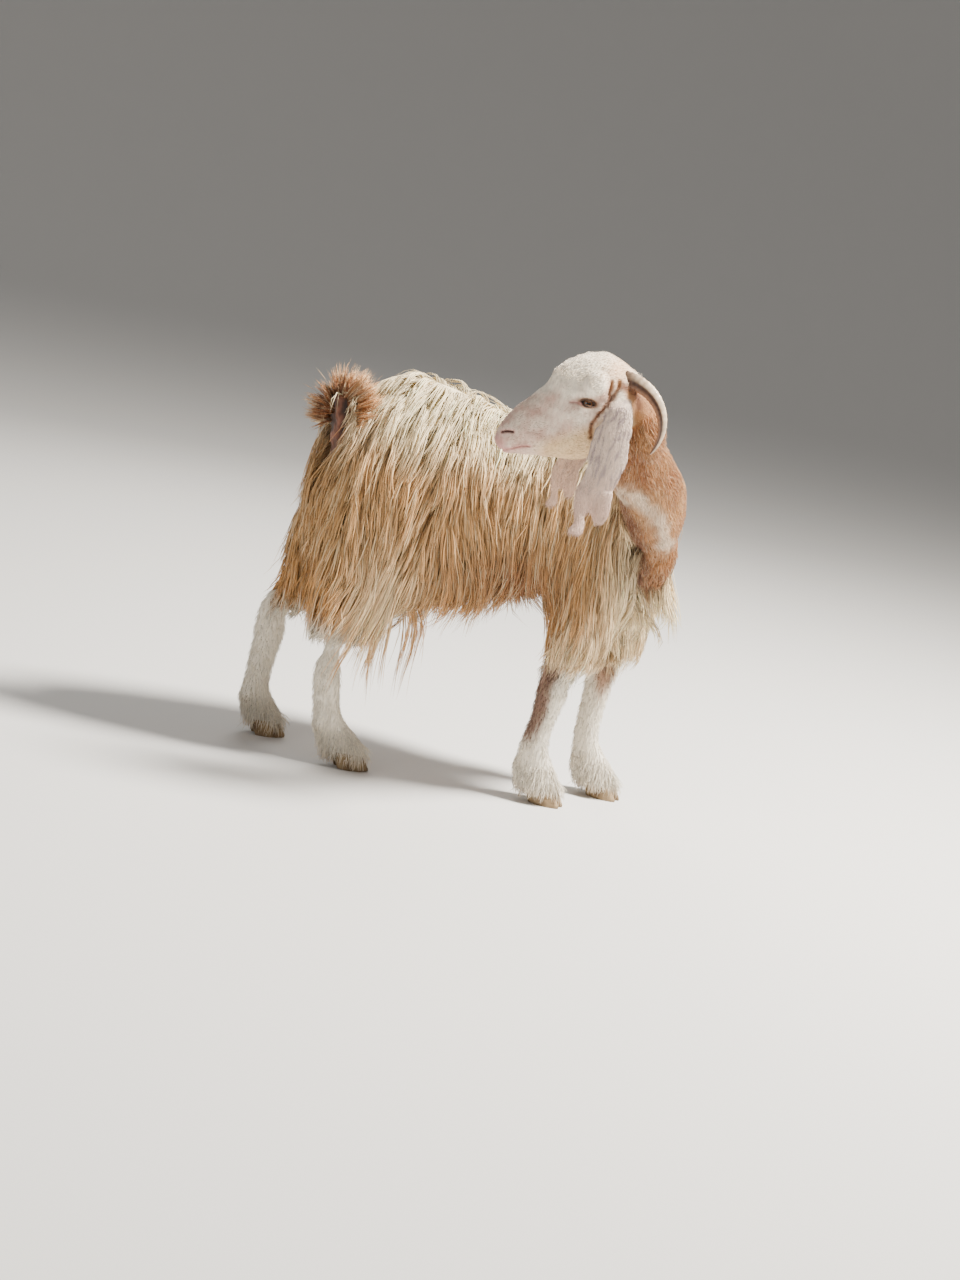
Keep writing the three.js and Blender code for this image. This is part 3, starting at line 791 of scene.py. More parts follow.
def ear_colour(points, place):
    """Pinkish white, with lilac freckles that end before the lobes, painted shade at the crease and root,
    and the far ear painted darker as shade.
    """
    down = (from_head(EAR_ROOT)[2] - points[:, 2]) / (EAR_LENGTH[1] / 1000)
    colour = mixed(EAR_WHITE, EAR_PINK, 0.25 + step(down, 0.5, 0.9) * 0.5)
    colour = mixed(colour, JAW_YELLOW, 0.6 * (1 - step(down, -0.05, 0.16)))
    speckle = ripple(points * (1, 1, 0.4), 0.009, 41) + 0.35 * ripple(points, 0.04, 42)
    colour = mixed(colour, EAR_LILAC, 0.8 * step(speckle, 0.3, 0.75) * (1 - step(down, 0.62, 0.85)))
    # Painted shade in the crease before the ear and at the ear's root.
    crease_shade = np.maximum(ear_crease(place, 4.2, 1.2), bell(away_from(place, EAR_ROOT_SHADE), 10))
    colour = mixed(colour, DARK_RUST, 0.9 * crease_shade)
    # The far ear is painted darker and warmer as shade; the near ear keeps its own colours.
    return mixed(colour, FAR_EAR_SHADE, 0.5 * (place[:, 1] < 0))


def tail_colour(points, mottle):
    colour = mixed(TAIL_BROWN, DARK_RUST, step(mottle, -0.2, 0.8) * 0.5)
    from_tail = np.linalg.norm((points - TAIL_MIDDLE) * (1, 1, 0.8), axis=1) + 0.008 * mottle
    colour = mixed(colour, TAIL_TIPS, 0.85 * step(from_tail, 0.045, 0.085))
    return mixed(colour, TAIL_BLAZE, 0.8 * blot(points, *BLAZE))


def markings(points, kinds):
    """The colour of the coat at points in space, and of the hide under it."""
    place = in_head(points)
    drift = ripple(points, 0.11, 3)
    mottle = ripple(points, 0.035, 4)
    colour = body_colour(points, drift)
    colour = mixed(colour, neck_colour(points, place, drift, mottle), neck_share(points, kinds, mottle))
    shank = are(kinds, "lower") | are(kinds, "upper") & (points[:, 2] < KNEE_HEIGHT)
    for chosen, own in (
        (are(kinds, "upper"), thigh_colour(points, drift)),
        (shank, shank_colour(points, mottle)),
        (are(kinds, "head"), face_colour(points, place, drift)),
        (are(kinds, "ear"), ear_colour(points, place)),
        (are(kinds, "tail"), tail_colour(points, mottle)),
    ):
        colour = np.where(chosen[:, None], own, colour)
    return colour


points = points_of(hide)
kinds = kinds_at(points)
bare, fold = tail_hollow(points, normals_of(hide))
# The hollow is painted nearly black, partly its dark bare skin and partly painted shade; the folds and its
# lower end are pinker.
flesh = (0.75 + 0.25 * ripple(points, 0.012, 17)) * fold + 0.35 * (1 - step(points[:, 2], 0.570, 0.61))
skin_colour = mixed(markings(points, kinds), mixed(NEARLY_BLACK, FOLD_PINK, flesh), bare)
skin_colour = relaxed(skin_colour, edges_of(hide), 0.5, 2)


def painted(mesh, name, colours):
    paint = mesh.attributes.new(name, "FLOAT_COLOR", "POINT")
    paint.data.foreach_set("color", np.column_stack([colours, np.ones(len(colours))]).ravel())


painted(hide, "coat_colour", skin_colour)


class Finish:
    """A procedural material in the making: its nodes are joined up by short calls."""

    def __init__(self, name, **sockets):
        self.material = bpy.data.materials.new(name)
        self.material.use_nodes = True
        self.tree = self.material.node_tree
        self.shader = self.tree.nodes["Principled BSDF"]
        for socket, value in sockets.items():
            self.shader.inputs[socket.replace("_", " ")].default_value = value

    def node(self, kind, links=(), **settings):
        node = self.tree.nodes.new("ShaderNode" + kind)
        for name, value in settings.items():
            setattr(node, name, value)
        for socket, value in dict(links).items():
            if isinstance(value, bpy.types.NodeSocket):
                self.tree.links.new(value, node.inputs[socket])
            else:
                node.inputs[socket].default_value = value
        return node

    def object_place(self, scale=(1, 1, 1), turn=(0, 0, 0)):
        place = self.node("TexCoord").outputs["Object"]
        return self.node("Mapping", {"Vector": place, "Scale": scale, "Rotation": turn}).outputs[0]

    def noise(self, scale, stretch=(1, 1, 1), detail=3.0, turn=(0, 0, 0)):
        place = self.object_place(stretch, turn)
        return self.node("TexNoise", {"Vector": place, "Scale": scale, "Detail": detail}).outputs["Fac"]

    def ramp(self, value, low, high, to_low=0.0, to_high=1.0):
        sockets = {"Value": value, 1: low, 2: high, 3: to_low, 4: to_high}
        return self.node("MapRange", sockets).outputs[0]

    def attribute(self, name):
        return self.node("Attribute", attribute_name=name).outputs

    def mix(self, share, colour, other, blend="MIX"):
        mix = self.node("Mix", {0: share, 6: colour, 7: other}, data_type="RGBA", blend_type=blend)
        return mix.outputs[2]

    def maths(self, operation, first, second=0.0):
        return self.node("Math", {0: first, 1: second}, operation=operation).outputs[0]

    def colour(self, socket):
        self.tree.links.new(socket, self.shader.inputs["Base Color"])

    def dappled(self, ground, light):
        """Colours the material with a ground that a light makes paler and darker."""
        grey = self.node("CombineColor", {0: light, 1: light, 2: light}).outputs[0]
        self.colour(self.mix(1.0, ground, grey, "MULTIPLY"))

    def roughness(self, socket):
        self.tree.links.new(socket, self.shader.inputs["Roughness"])

    def bump(self, height, distance, strength=1.0):
        bump = self.node("Bump", {"Height": height, "Distance": distance, "Strength": strength})
        self.tree.links.new(bump.outputs[0], self.shader.inputs["Normal"])


# Short hair shows on the hide as fine streaks.
leather = Finish("hide_and_short_hair", Roughness=0.75, Specular_IOR_Level=0.3, Sheen_Weight=0.15)
hair_streaks = leather.noise(260, (1, 1, 0.25), 4, (0, HEAD_PITCH, 0))
leather.dappled(leather.attribute("coat_colour")["Color"], leather.ramp(hair_streaks, 0.3, 0.7, 0.84, 1.12))
leather.bump(hair_streaks, 0.0012, 0.7)
hide.materials.append(leather.material)

# ---- Eyes ----
# Amber eyes with a level slit of a pupil, wet and a little domed in front, held by the lids.
PUPIL_HALF = (0.0044, 0.0013)
PUPIL_RAISE = 0.0018
IRIS_RADIUS = 0.0078
IRIS_DARK = tint(78, 46, 26)
IRIS_AMBER = tint(124, 80, 44)
EYE_EDGE = tint(34, 20, 14)
PUPIL_BLACK = (0.004, 0.003, 0.003, 1)
DOME_RISE = 0.0009
DOME_RADIUS = 0.007

gloss = Finish("eye", Roughness=0.08, Coat_Weight=1.0, Coat_Roughness=0.03, IOR=1.38)
eye_left_middle = from_head((0, EYE_OUT, 0)) + (0, 0, PUPIL_RAISE)
eye_place = gloss.node("TexCoord").outputs["Object"]
from_middle = gloss.node("VectorMath", {0: eye_place, 1: eye_left_middle}, operation="SUBTRACT").outputs[0]
apart = gloss.node("SeparateXYZ", {0: from_middle}).outputs
sideways = gloss.maths("ABSOLUTE", apart["X"])
upwards = gloss.maths("ABSOLUTE", apart["Z"])
squares = gloss.maths("ADD", gloss.maths("POWER", sideways, 2), gloss.maths("POWER", upwards, 2))
round_middle = gloss.maths("SQRT", squares)
rays = gloss.noise(900, (1, 0.2, 1), 3)
iris = gloss.mix(gloss.ramp(rays, 0.35, 0.65), (*IRIS_DARK, 1), (*IRIS_AMBER, 1))
iris = gloss.mix(gloss.ramp(round_middle, IRIS_RADIUS - 0.0022, IRIS_RADIUS), iris, (*EYE_EDGE, 1))
pupil_along = gloss.ramp(sideways, PUPIL_HALF[0] + 0.0008, PUPIL_HALF[0])
pupil_up = gloss.ramp(upwards, PUPIL_HALF[1] + 0.0006, PUPIL_HALF[1])
pupil = gloss.maths("MULTIPLY", pupil_along, pupil_up)
gloss.colour(gloss.mix(pupil, iris, PUPIL_BLACK))
for side, name in ((1, "left"), (-1, "right")):
    form = bmesh.new()
    bmesh.ops.create_uvsphere(form, u_segments=48, v_segments=28, radius=EYE_RADIUS / 1000)
    for vert in form.verts:
        dome = math.exp(-((math.hypot(vert.co.x, vert.co.y) / DOME_RADIUS) ** 2))
        vert.co.z += math.copysign(DOME_RISE, vert.co.z) * dome
    outwards = Matrix.Rotation(side * math.pi / 2, 3, "X")
    bmesh.ops.rotate(form, verts=form.verts, cent=(0, 0, 0), matrix=outwards)
    bmesh.ops.translate(form, verts=form.verts, vec=from_head((0, side * EYE_OUT, 0)))
    eyeball = placed(f"eyeball_{name}", mesh_of(form, f"eyeball_{name}"))
    smooth(eyeball.data)
    eyeball.data.materials.append(gloss.material)
    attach(eyeball, "root")
    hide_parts(f"eye_{name}")

# ---- Horns ----
# Flattened horn sheaths on bony cores, keeled in front and ridged from the root. They are painted
# brown inside the curve as shade and left pale outside it as painted light. They grow from the poll
# and sweep back over the ears.
HORNS = {  # radius and middle of the arc, degrees turned, splay
    1: {"radius": 75, "centre": -48, "turn": 121, "splay": 20},
    -1: {"radius": 73, "centre": -51, "turn": 80, "splay": 22},
}
HORN_START = 120  # degrees round the arc at the root
HORN_HALF = 14.5
HORN_TIP_HALF = 0.9
HORN_BACK = -35
HORN_APART = 30
HORN_FLATNESS = 0.55
HORN_RINGS = 90
HORN_SIDES = 28
RIDGE_HEIGHT = 0.035
KEEL_HEIGHT = 0.10
# The pale outside of the horn is painted light over its own pale colour; the brown inside the curve and the
# dark line along it are painted shade.
HORN_LIT_PALE = tint(234, 212, 184)
HORN_BAND = tint(198, 166, 132)
HORN_SHADED_INSIDE = tint(132, 92, 66)
HORN_SHADOW_LINE = tint(62, 40, 30)
HORN_ENDS = tint(80, 54, 40)

horn_finish = Finish("horn", Roughness=0.42, Specular_IOR_Level=0.45, Coat_Weight=0.12)
fibres = horn_finish.noise(90, (1, 1, 1), 6)
fibre_light = horn_finish.ramp(fibres, 0.3, 0.7, 0.78, 1.16)
horn_finish.dappled(horn_finish.attribute("horn_shade")["Color"], fibre_light)
horn_finish.roughness(horn_finish.ramp(fibres, 0.3, 0.7, 0.34, 0.58))
horn_finish.bump(horn_finish.noise(420, (1, 1, 1), 3), 0.0006, 0.5)


def horn_shade(inwards, ridge, t):
    """Colours round a ring of the horn: pale outside as painted light, brown inside the curve as painted
    shade, and dark at the root and tip.
    """
    shade = mixed(HORN_LIT_PALE, HORN_BAND, np.full(HORN_SIDES, 0.35 + 0.2 * math.sin(ridge)))
    # Inside the curve the horn is painted brown as shade, with a painted shadow line.
    shade = mixed(shade, HORN_SHADED_INSIDE, step(inwards, -0.35, 0.1))
    shade = mixed(shade, HORN_SHADOW_LINE, bell(inwards - 0.15, 0.3))
    ends = 0.95 * (1 - min(t / 0.24, 1)) + 0.5 * max(t - 0.8, 0) * 5
    return mixed(shade, HORN_ENDS, np.full(HORN_SIDES, ends))


for side, name in ((1, "left"), (-1, "right")):
    arc = HORNS[side]
    rings = []
    ring_shades = []
    ridges = np.cumsum(np.random.default_rng(20 + side).uniform(0.75, 1.3, HORN_RINGS))
    around = np.linspace(0, 2 * math.pi, HORN_SIDES, endpoint=False)
    for ridge, t in zip(ridges, np.linspace(0, 1, HORN_RINGS)):
        angle = math.radians(HORN_START + arc["turn"] * t)
        outwards = np.array([math.cos(angle), 0, math.sin(angle)])
        ahead = np.array([-math.sin(angle), side * 0.5 * math.cos(0.9 * math.pi * t), math.cos(angle)])
        ahead /= np.linalg.norm(ahead)
        sideways = np.cross(ahead, outwards)
        apart = side * (HORN_APART + arc["splay"] * math.sin(0.9 * math.pi * t))
        middle = np.array([HORN_BACK, apart, arc["centre"]])
        middle = middle + arc["radius"] * outwards
        swell = RIDGE_HEIGHT * math.sin(ridge * 1.25) * (1 - t) ** 0.5 if t < 0.85 else 0
        half = (HORN_HALF * (1 - t) ** 0.7 + HORN_TIP_HALF) * (1 + swell)
        radial = half * (np.cos(around) + KEEL_HEIGHT * bell(around - math.pi, 0.5))
        lateral = half * HORN_FLATNESS * np.sin(around) * (1 - 0.18 * np.cos(around))
        rings.append(from_head(middle + radial[:, None] * outwards + lateral[:, None] * sideways))
        ring_shades.append(horn_shade(-np.cos(around), ridge, t))
    form = bmesh.new()
    tube(form, rings)
    bmesh.ops.recalc_face_normals(form, faces=form.faces)
    horn = placed(f"horn_sheath_{name}", mesh_of(form, f"horn_sheath_{name}"))
    smooth(horn.data)
    painted(horn.data, "horn_shade", np.concatenate(ring_shades))
    horn.data.materials.append(horn_finish.material)
    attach(horn, "root")
    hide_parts(f"horn_{name}")

# ---- Claws ----
# Each foot stands on two horn claws with growth rings, and carries two small dewclaws behind the
# fetlock. The coronet's hair hangs over their upper rim.
CLAW_GRAIN = 0.0017
RING_PITCH = 0.0046
RING_DEPTH = 0.00035
SOLE_HEIGHT = 0.0012
HOOF_DARK = (*tint(112, 90, 66), 1)
HOOF_PALE = (*tint(176, 152, 118), 1)
HOOF_DUST = (*tint(120, 100, 76), 1)
DEWCLAW_HALVES = (0.007, 0.006, 0.011)
DEWCLAW_APART = 0.011
FETLOCKS = {  # turn in degrees, the fetlock's middle, and how far behind it the dewclaws sit
    "hind_right": (20, (-0.2008, -0.0054, 0.074), 0.030),
    "hind_left": (24, (-0.3548, 0.1336, 0.068), 0.030),
    "fore_right": (-22, (0.1812, 0.0106, 0.064), 0.038),
    "fore_left": (-26, (0.2882, 0.1476, 0.060), 0.037),
}

hoof_finish = Finish("hoof", Roughness=0.55, Specular_IOR_Level=0.35)
wall = hoof_finish.noise(70, (1, 1, 0.5), 5)
hoof_colour = hoof_finish.mix(hoof_finish.ramp(wall, 0.3, 0.7), HOOF_DARK, HOOF_PALE)
height = hoof_finish.node("SeparateXYZ", {0: hoof_finish.object_place()}).outputs["Z"]
hoof_finish.colour(hoof_finish.mix(hoof_finish.ramp(height, 0.012, 0.0, 0, 0.6), hoof_colour, HOOF_DUST))
hoof_finish.bump(hoof_finish.noise(240, (1, 1, 2.5), 4), 0.0008, 0.6)
for leg in LEGS:
    for half in ("inner", "outer"):
        node = f"claw_{leg}_{half}"
        form, _ = merged(node)
        bmesh.ops.remove_doubles(form, verts=form.verts, dist=1e-5)
        claw_mesh = finished(mesh_of(form, node), "REMESH", mode="VOXEL", voxel_size=CLAW_GRAIN)
        points = points_of(claw_mesh)
        sole = points[:, 2] < SOLE_HEIGHT
        ringed = band(points[:, 2], 0.004, 0.010, 0.026, 0.03)
        points = relaxed(points, edges_of(claw_mesh), 0.5 * ~sole, 4)
        set_points(claw_mesh, points)
        normals = normals_of(claw_mesh)
        normals[:, 2] = 0
        wave = RING_DEPTH * np.sin(points[:, 2] * 2 * math.pi / RING_PITCH + 3 * ripple(points, 0.03, 9))
        points = points + normals * (wave * ringed)[:, None]
        points[sole, 2] = 0
        points[:, 2] = np.maximum(points[:, 2], 0)
        set_points(claw_mesh, points)
        smooth(claw_mesh)
        hoof = placed(f"hoof_{leg}_{half}", claw_mesh)
        hoof.data.materials.append(hoof_finish.material)
        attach(hoof, "root")
        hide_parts(node)
for leg, (turn, fetlock, behind) in FETLOCKS.items():
    form = bmesh.new()
    for side in (1, -1):
        knob = bmesh.ops.create_uvsphere(form, u_segments=16, v_segments=10, radius=1)["verts"]
        bmesh.ops.scale(form, verts=knob, vec=DEWCLAW_HALVES)
        for vert in knob:
            vert.co.x *= 1 + 25 * vert.co.z
        bmesh.ops.rotate(form, verts=knob, cent=(0, 0, 0), matrix=Matrix.Rotation(0.5, 3, "Y"))
        bmesh.ops.translate(form, verts=knob, vec=(0.012 - behind, side * DEWCLAW_APART, -0.004))
    with_leg = Matrix.Rotation(math.radians(turn), 3, "Z")
    bmesh.ops.rotate(form, verts=form.verts, cent=(0, 0, 0), matrix=with_leg)
    bmesh.ops.translate(form, verts=form.verts, vec=fetlock)
    dewclaws = placed(f"dewclaws_{leg}", mesh_of(form, f"dewclaws_{leg}"))
    smooth(dewclaws.data)
    dewclaws.data.materials.append(hoof_finish.material)
    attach(dewclaws, "root")

# ---- Long coat ----
# Fine, straight hair hangs in pointed locks from a parting along the back, over the flanks, rump,
# thighs, shoulders and breast, and ends in a ragged hem. Guide hairs are grown over the hide inside
# the outline of the coat, and each strand follows the nearest guide and closes on it towards the tip.
GRID = 0.013
GRID_REACH = 0.1
GRID_MARGIN = 0.04
GUIDE_POINTS = 10
GUIDES = 4200
HEM_SPREAD = 0.008
HEM_DROP = 0.030
EAR_ROOM = 0.020  # the coat lies flatter this near to an ear
HAIR_FOOT = 0.232  # the long hair of the legs ends at this height
LOCK_WAVE = 0.075
LEAN_PLACES = (-0.30, -0.20, -0.08, 0.02, 0.12, 0.22, 0.28)  # along the body,
LEANS = (-0.24, -0.16, -0.03, 0.06, 0.06, -0.08, 0.04)  # how the hair leans forwards there
STRAND_PROFILE = (0.75, 1.0, 1.05, 0.95, 0.7)
STRAND_WIDTH = 0.0022
TAIL_STRAND_WIDTH = 0.0012
NEAR_GUIDE = 0.03  # the strands of a lock start at most this far from its guide
STRAY = 0.011
CURL = 0.0022
DEPTH_RANGE = (0.004, 0.12)  # the least and the greatest depth of the coat over the hide
LEFT_SHARE = 0.85  # of the strands of the right side
LONG_HAIR = 0.145
THIGH_HAIR = 0.11
BELLY_HAIR = 0.09
TAIL_HAIR = 0.044
LEG_HAIR_ROOTS = 0.245  # the long hair of the legs is rooted above this height
SMOOTH_APRON = 0.406  # the apron has short hair above this height
ROOT_DEPTH = 0.0015
FREE = 0.03  # guides with more freedom than this hang clear of the outline
FOLD_MIDDLE = (-0.135, 0.38)  # the fold before the right thigh
FOLD_HALVES = (0.045, 0.06)
PATCH = 0.003  # size of a strand's place on the coat's texture map

bpy.context.view_layer.objects.active = skin
skin.select_set(True)
hide.uv_layers.new(name="OFBake")
bpy.ops.object.mode_set(mode="EDIT")
bpy.ops.mesh.select_all(action="SELECT")
bpy.ops.uv.smart_project(angle_limit=math.radians(66), island_margin=0.002)
bpy.ops.object.mode_set(mode="OBJECT")
hide.calc_loop_triangles()
corner_points = values_of(hide.loop_triangles, "vertices", 3, int)
corner_loops = values_of(hide.loop_triangles, "loops", 3, int)
map_places = values_of(hide.uv_layers["OFBake"].uv, "vector", 2)
hide_normals = normals_of(hide)
corners = points_of(hide)[corner_points]
crossed = np.cross(corners[:, 1] - corners[:, 0], corners[:, 2] - corners[:, 0])
face_areas = np.linalg.norm(crossed, axis=1) / 2
face_kinds = kinds[corner_points[:, 0]]
face_middles = corners.mean(1)
face_normals = hide_normals[corner_points].mean(1)


def unit(vectors):
    return vectors / np.maximum(np.linalg.norm(vectors, axis=-1, keepdims=True), 1e-9)


def scattered(density, count, random):
    """Roots spread over the hide by a density for each face: places, normals, kinds and map places."""
    total = np.cumsum(density * face_areas)
    picks = np.searchsorted(total, (np.arange(count) + random.random(count)) / count * total[-1])
    picks = np.minimum(picks, len(total) - 1)
    a, b = random.random((2, count))
    over = a + b > 1
    a, b = np.where(over, 1 - a, a), np.where(over, 1 - b, b)
    shares = np.stack([1 - a - b, a, b], 1)[:, :, None]
    roots = (corners[picks] * shares).sum(1)
    normals = unit((hide_normals[corner_points[picks]] * shares).sum(1))
    places = (map_places[corner_loops[picks]] * shares).sum(1)
    return roots, normals, face_kinds[picks], places


def distances(tree, places):
    """How far places lie outside a surface, less than nothing inside it."""
    found = np.full(len(places), GRID_REACH)
    for index, place in enumerate(places):
        spot, normal, _, distance = tree.find_nearest(place, GRID_REACH)
        if spot is not None:
            found[index] = distance if (Vector(place) - spot).dot(normal) > 0 else -distance
    return found


def surface_tree(mesh):
    form = bmesh.new()
    form.from_mesh(mesh)
    tree = BVHTree.FromBMesh(form)
    form.free()
    return tree


grid_low = points_of(envelope).min(0) - GRID_MARGIN
grid_size = np.ceil((points_of(envelope).max(0) + GRID_MARGIN - grid_low) / GRID).astype(int) + 1
grid_places = grid_low + np.array(list(np.ndindex(*grid_size))) * GRID
from_envelope = distances(surface_tree(envelope), grid_places).reshape(grid_size)
from_core = distances(surface_tree(core), grid_places).reshape(grid_size)
from_ears = np.abs(distances(surface_tree(ear_lobes), grid_places)).reshape(grid_size)
from_envelope += np.clip(EAR_ROOM - from_ears, 0, EAR_ROOM)
slopes = np.stack(np.gradient(from_core, GRID), -1)
fields = np.concatenate([from_envelope[..., None], from_core[..., None], slopes], -1)


def fields_at(points):
    """Distance from the coat's outline and from the hide, and the way out from the hide."""
    cell = np.clip((points - grid_low) / GRID, 0, np.array(grid_size) - 1.001)
    base = cell.astype(int)
    part = cell - base
    total = 0
    for offset in np.ndindex(2, 2, 2):
        weight = np.prod(np.where(offset, part, 1 - part), axis=1)[:, None]
        total = total + weight * fields[tuple((base + offset).T)]
    return total[:, 0], total[:, 1], unit(total[:, 2:])


ridge_x = np.linspace(-0.30, 0.30, 25)
on_trunk = are(face_kinds, "trunk")
trunk_middles = face_middles[on_trunk]
ridge_y = [trunk_middles[np.abs(trunk_middles[:, 0] - x) < 0.02] for x in ridge_x]
ridge_y = np.array([near[near[:, 2].argmax(), 1] for near in ridge_y])
ridge_y = np.convolve(np.pad(ridge_y, 3, "edge"), np.ones(7) / 7, "valid")


def beside_parting(points):
    """How far points lie to the goat's left of the parting along its back."""
    return points[:, 1] - np.interp(points[:, 0], ridge_x, ridge_y)


def lie_of(points, on_tail, ways, side, fan):
    """Which way the hair hangs: off the parting, then down and a little back, and fanned on the tail."""
    drift = ripple(points, 0.15, 11)[:, None]
    lie = np.tile((0.0, 0.0, -1.0), (len(points), 1)) + drift * (0.22, 0.06, 0)
    lie[:, 0] += np.interp(points[:, 0], LEAN_PLACES, LEANS)
    off_back = step(ways[:, 2], 0.25, 0.9)[:, None] * (-0.45, 1.0, 0.0)
    off_back[:, 1] *= side
    lie[:, 0] += 0.34 * step(points[:, 0], 0.27, 0.34) * (1 - step(points[:, 2], 0.42, 0.52))
    return np.where(on_tail[:, None], fan, lie + off_back)


def grown(roots, normals, kinds, lengths, layers, freedom, random):
    """Guide hairs from their roots: their points and the way out from the hide at each."""
    count = len(roots)
    phase = random.uniform(0, 6.3, count)
    wave = LOCK_WAVE * random.uniform(0.7, 1.5, count)
    wave_size = random.uniform(0.1, 0.42, count)
    sway = random.normal(0, 0.16, count) * (freedom < FREE)
    wave_size = np.where(freedom < FREE, wave_size, 0.1)
    on_tail = are(kinds, "tail")
    side = np.tanh(beside_parting(roots) / 0.01)
    edgewise = normals - (normals @ TAIL_FACE)[:, None] * TAIL_FACE
    fan = edgewise + 0.35 * normals + (0, 0, 0.25) + step(normals[:, 0], 0, 0.8)[:, None] * (0.5, 0, 0)
    fan += step(normals @ TAIL_SIDE, 0, 0.6)[:, None] * (-0.6, 0, 0.1)
    for _ in range(2):  # once to find where the outline ends, and once to grow up to there
        path = np.empty((count, GUIDE_POINTS, 3))
        ways_out = np.empty_like(path)
        path[:, 0] = roots - ROOT_DEPTH * normals
        ways_out[:, 0] = normals
        outside = np.zeros((count, GUIDE_POINTS))
        stride = lengths / (GUIDE_POINTS - 1)
        heading = unit(0.5 * normals + unit(lie_of(roots, on_tail, normals, side, fan)))
        for k in range(1, GUIDE_POINTS):
            place = path[:, k - 1] + heading * stride[:, None]
            beyond, above, way = fields_at(place)
            way = np.where((np.abs(way).sum(1) > 0)[:, None], way, ways_out[:, k - 1])
            rise = layers * min(1, 0.35 + k / 4)
            wanted = rise * np.clip(above - beyond, *DEPTH_RANGE)
            push = 0.7 * (wanted - above)[:, None] * way
            push[:, 2] = np.where((way[:, 2] < 0) & ~on_tail, 0, push[:, 2])
            hangs_free = np.where(freedom > FREE, step(beyond, 0, 0.02), on_tail)
            path[:, k] = place + push * (1 - hangs_free)[:, None]
            foot = HAIR_FOOT + 0.012 * np.sin(3 * phase) - place[:, 2]
            outside[:, k] = np.maximum(beyond, foot * ~on_tail)
            ways_out[:, k] = way
            lie = unit(lie_of(path[:, k], on_tail, way, side, fan))
            into = (lie * way).sum(1)[:, None]
            along_hide = lie - 0.85 * into * way * (~on_tail & (way[:, 2] > -0.3))[:, None]
            across = np.cross(way, along_hide)
            bend = sway + wave_size * np.cos(phase + 2 * math.pi * stride * k / wave)
            heading = unit(0.45 * heading + 0.55 * unit(along_hide) + 0.3 * bend[:, None] * across)
        limit = 0.001 + HEM_SPREAD * np.abs(np.sin(3 * phase)) + freedom + 0.03 * on_tail
        under_hem = are(kinds, "trunk") & (roots[:, 1] < 0.12)
        middle_of_body = np.exp(-(((roots[:, 0] + 0.02) / 0.11) ** 4))
        limit += HEM_DROP * under_hem * (0.4 + 0.6 * middle_of_body)
        too_far = outside > limit[:, None]
        first = np.where(too_far.any(1), too_far.argmax(1), GUIDE_POINTS) - 1
        lengths = lengths * np.clip(first / (GUIDE_POINTS - 1), 0.25, 1)
    return path, ways_out


bare_faces = tail_hollow(face_middles, unit(face_normals))[0] > 0.8
on_neck = are(face_kinds, "neck")
face_heights = face_middles[:, 2]
breast_share = 1 - step(face_heights + 0.02 * ripple(face_middles, 0.06, 12), 0.49, 0.55)
behind_neck = (past(NECK_EDGE, face_middles) < 0) & (face_middles[:, 1] < 0)
breast_share = np.maximum(breast_share, behind_neck & (face_heights < 0.6))
apron_faces = (on_neck | on_trunk) & (on_apron(face_middles) > 0.55)
smooth_apron = apron_faces & (face_heights > SMOOTH_APRON)
trunk_faces = (on_trunk + on_neck * breast_share) * ~(bare_faces | smooth_apron)
upper_faces = are(face_kinds, "upper") & (face_heights > LEG_HAIR_ROOTS)
tail_faces = are(face_kinds, "tail") & ~bare_faces


def hair_length(roots, normals, kinds):
    length = LONG_HAIR + 0.02 * ripple(roots, 0.2, 21) - 0.03 * step(normals[:, 2], 0.3, 0.9)
    length = np.where(are(kinds, "upper"), THIGH_HAIR, length)
    length = np.where(normals[:, 2] < -0.6, BELLY_HAIR, length)
    tail_length = TAIL_HAIR + 0.028 * step(normals[:, 0], 0, 0.8)
    tail_length += 0.012 * step(normals @ TAIL_SIDE, 0, 0.6)
    return np.where(are(kinds, "tail"), tail_length, length)


random = np.random.default_rng(7)
guide_density = trunk_faces + upper_faces + 4.0 * tail_faces
guide_roots, guide_normals, guide_kinds, _ = scattered(guide_density, GUIDES, random)
guide_lengths = hair_length(guide_roots, guide_normals, guide_kinds) * random.uniform(0.75, 1.15, GUIDES)
guide_layers = random.uniform(0.35, 1.0, GUIDES) * (1 - 0.3 * step(guide_normals[:, 2], 0.4, 0.9))
guide_x, guide_y, guide_z = guide_roots.T
# A few long locks fall from the fold before the right thigh, and spikes stand off the breast.
from_fold = np.abs(side_view(guide_roots) - FOLD_MIDDLE)
fold = (from_fold < FOLD_HALVES).all(1) & (guide_y < 0.02)
fold &= random.random(GUIDES) < 0.55
spikes = (guide_x > 0.30) & (guide_z < 0.52) & (random.random(GUIDES) < 0.3)
guide_lengths = np.where(fold, random.uniform(0.16, 0.25, GUIDES), guide_lengths)
guide_layers = np.where(fold | spikes, 1.05, guide_layers)
freedom = fold * random.uniform(0.04, 0.11, GUIDES) + spikes * random.uniform(0.005, 0.03, GUIDES)
guide_paths, guide_ways = grown(
    guide_roots, guide_normals, guide_kinds, guide_lengths, guide_layers, freedom, random
)
guide_light = random.normal(0, 0.10, GUIDES) + 0.16 * fold
guide_tree = KDTree(GUIDES)
for index, root in enumerate(guide_roots):
    guide_tree.insert(root, index)
guide_tree.balance()


def along(values, places):
    """Values of each guide at places from 0 to 1 along it."""
    spot = places * (GUIDE_POINTS - 1)
    base = np.minimum(spot.astype(int), GUIDE_POINTS - 2)
    part = (spot - base)[..., None]
    rows = np.arange(len(values))[:, None]
    return values[rows, base] * (1 - part) + values[rows, base + 1] * part


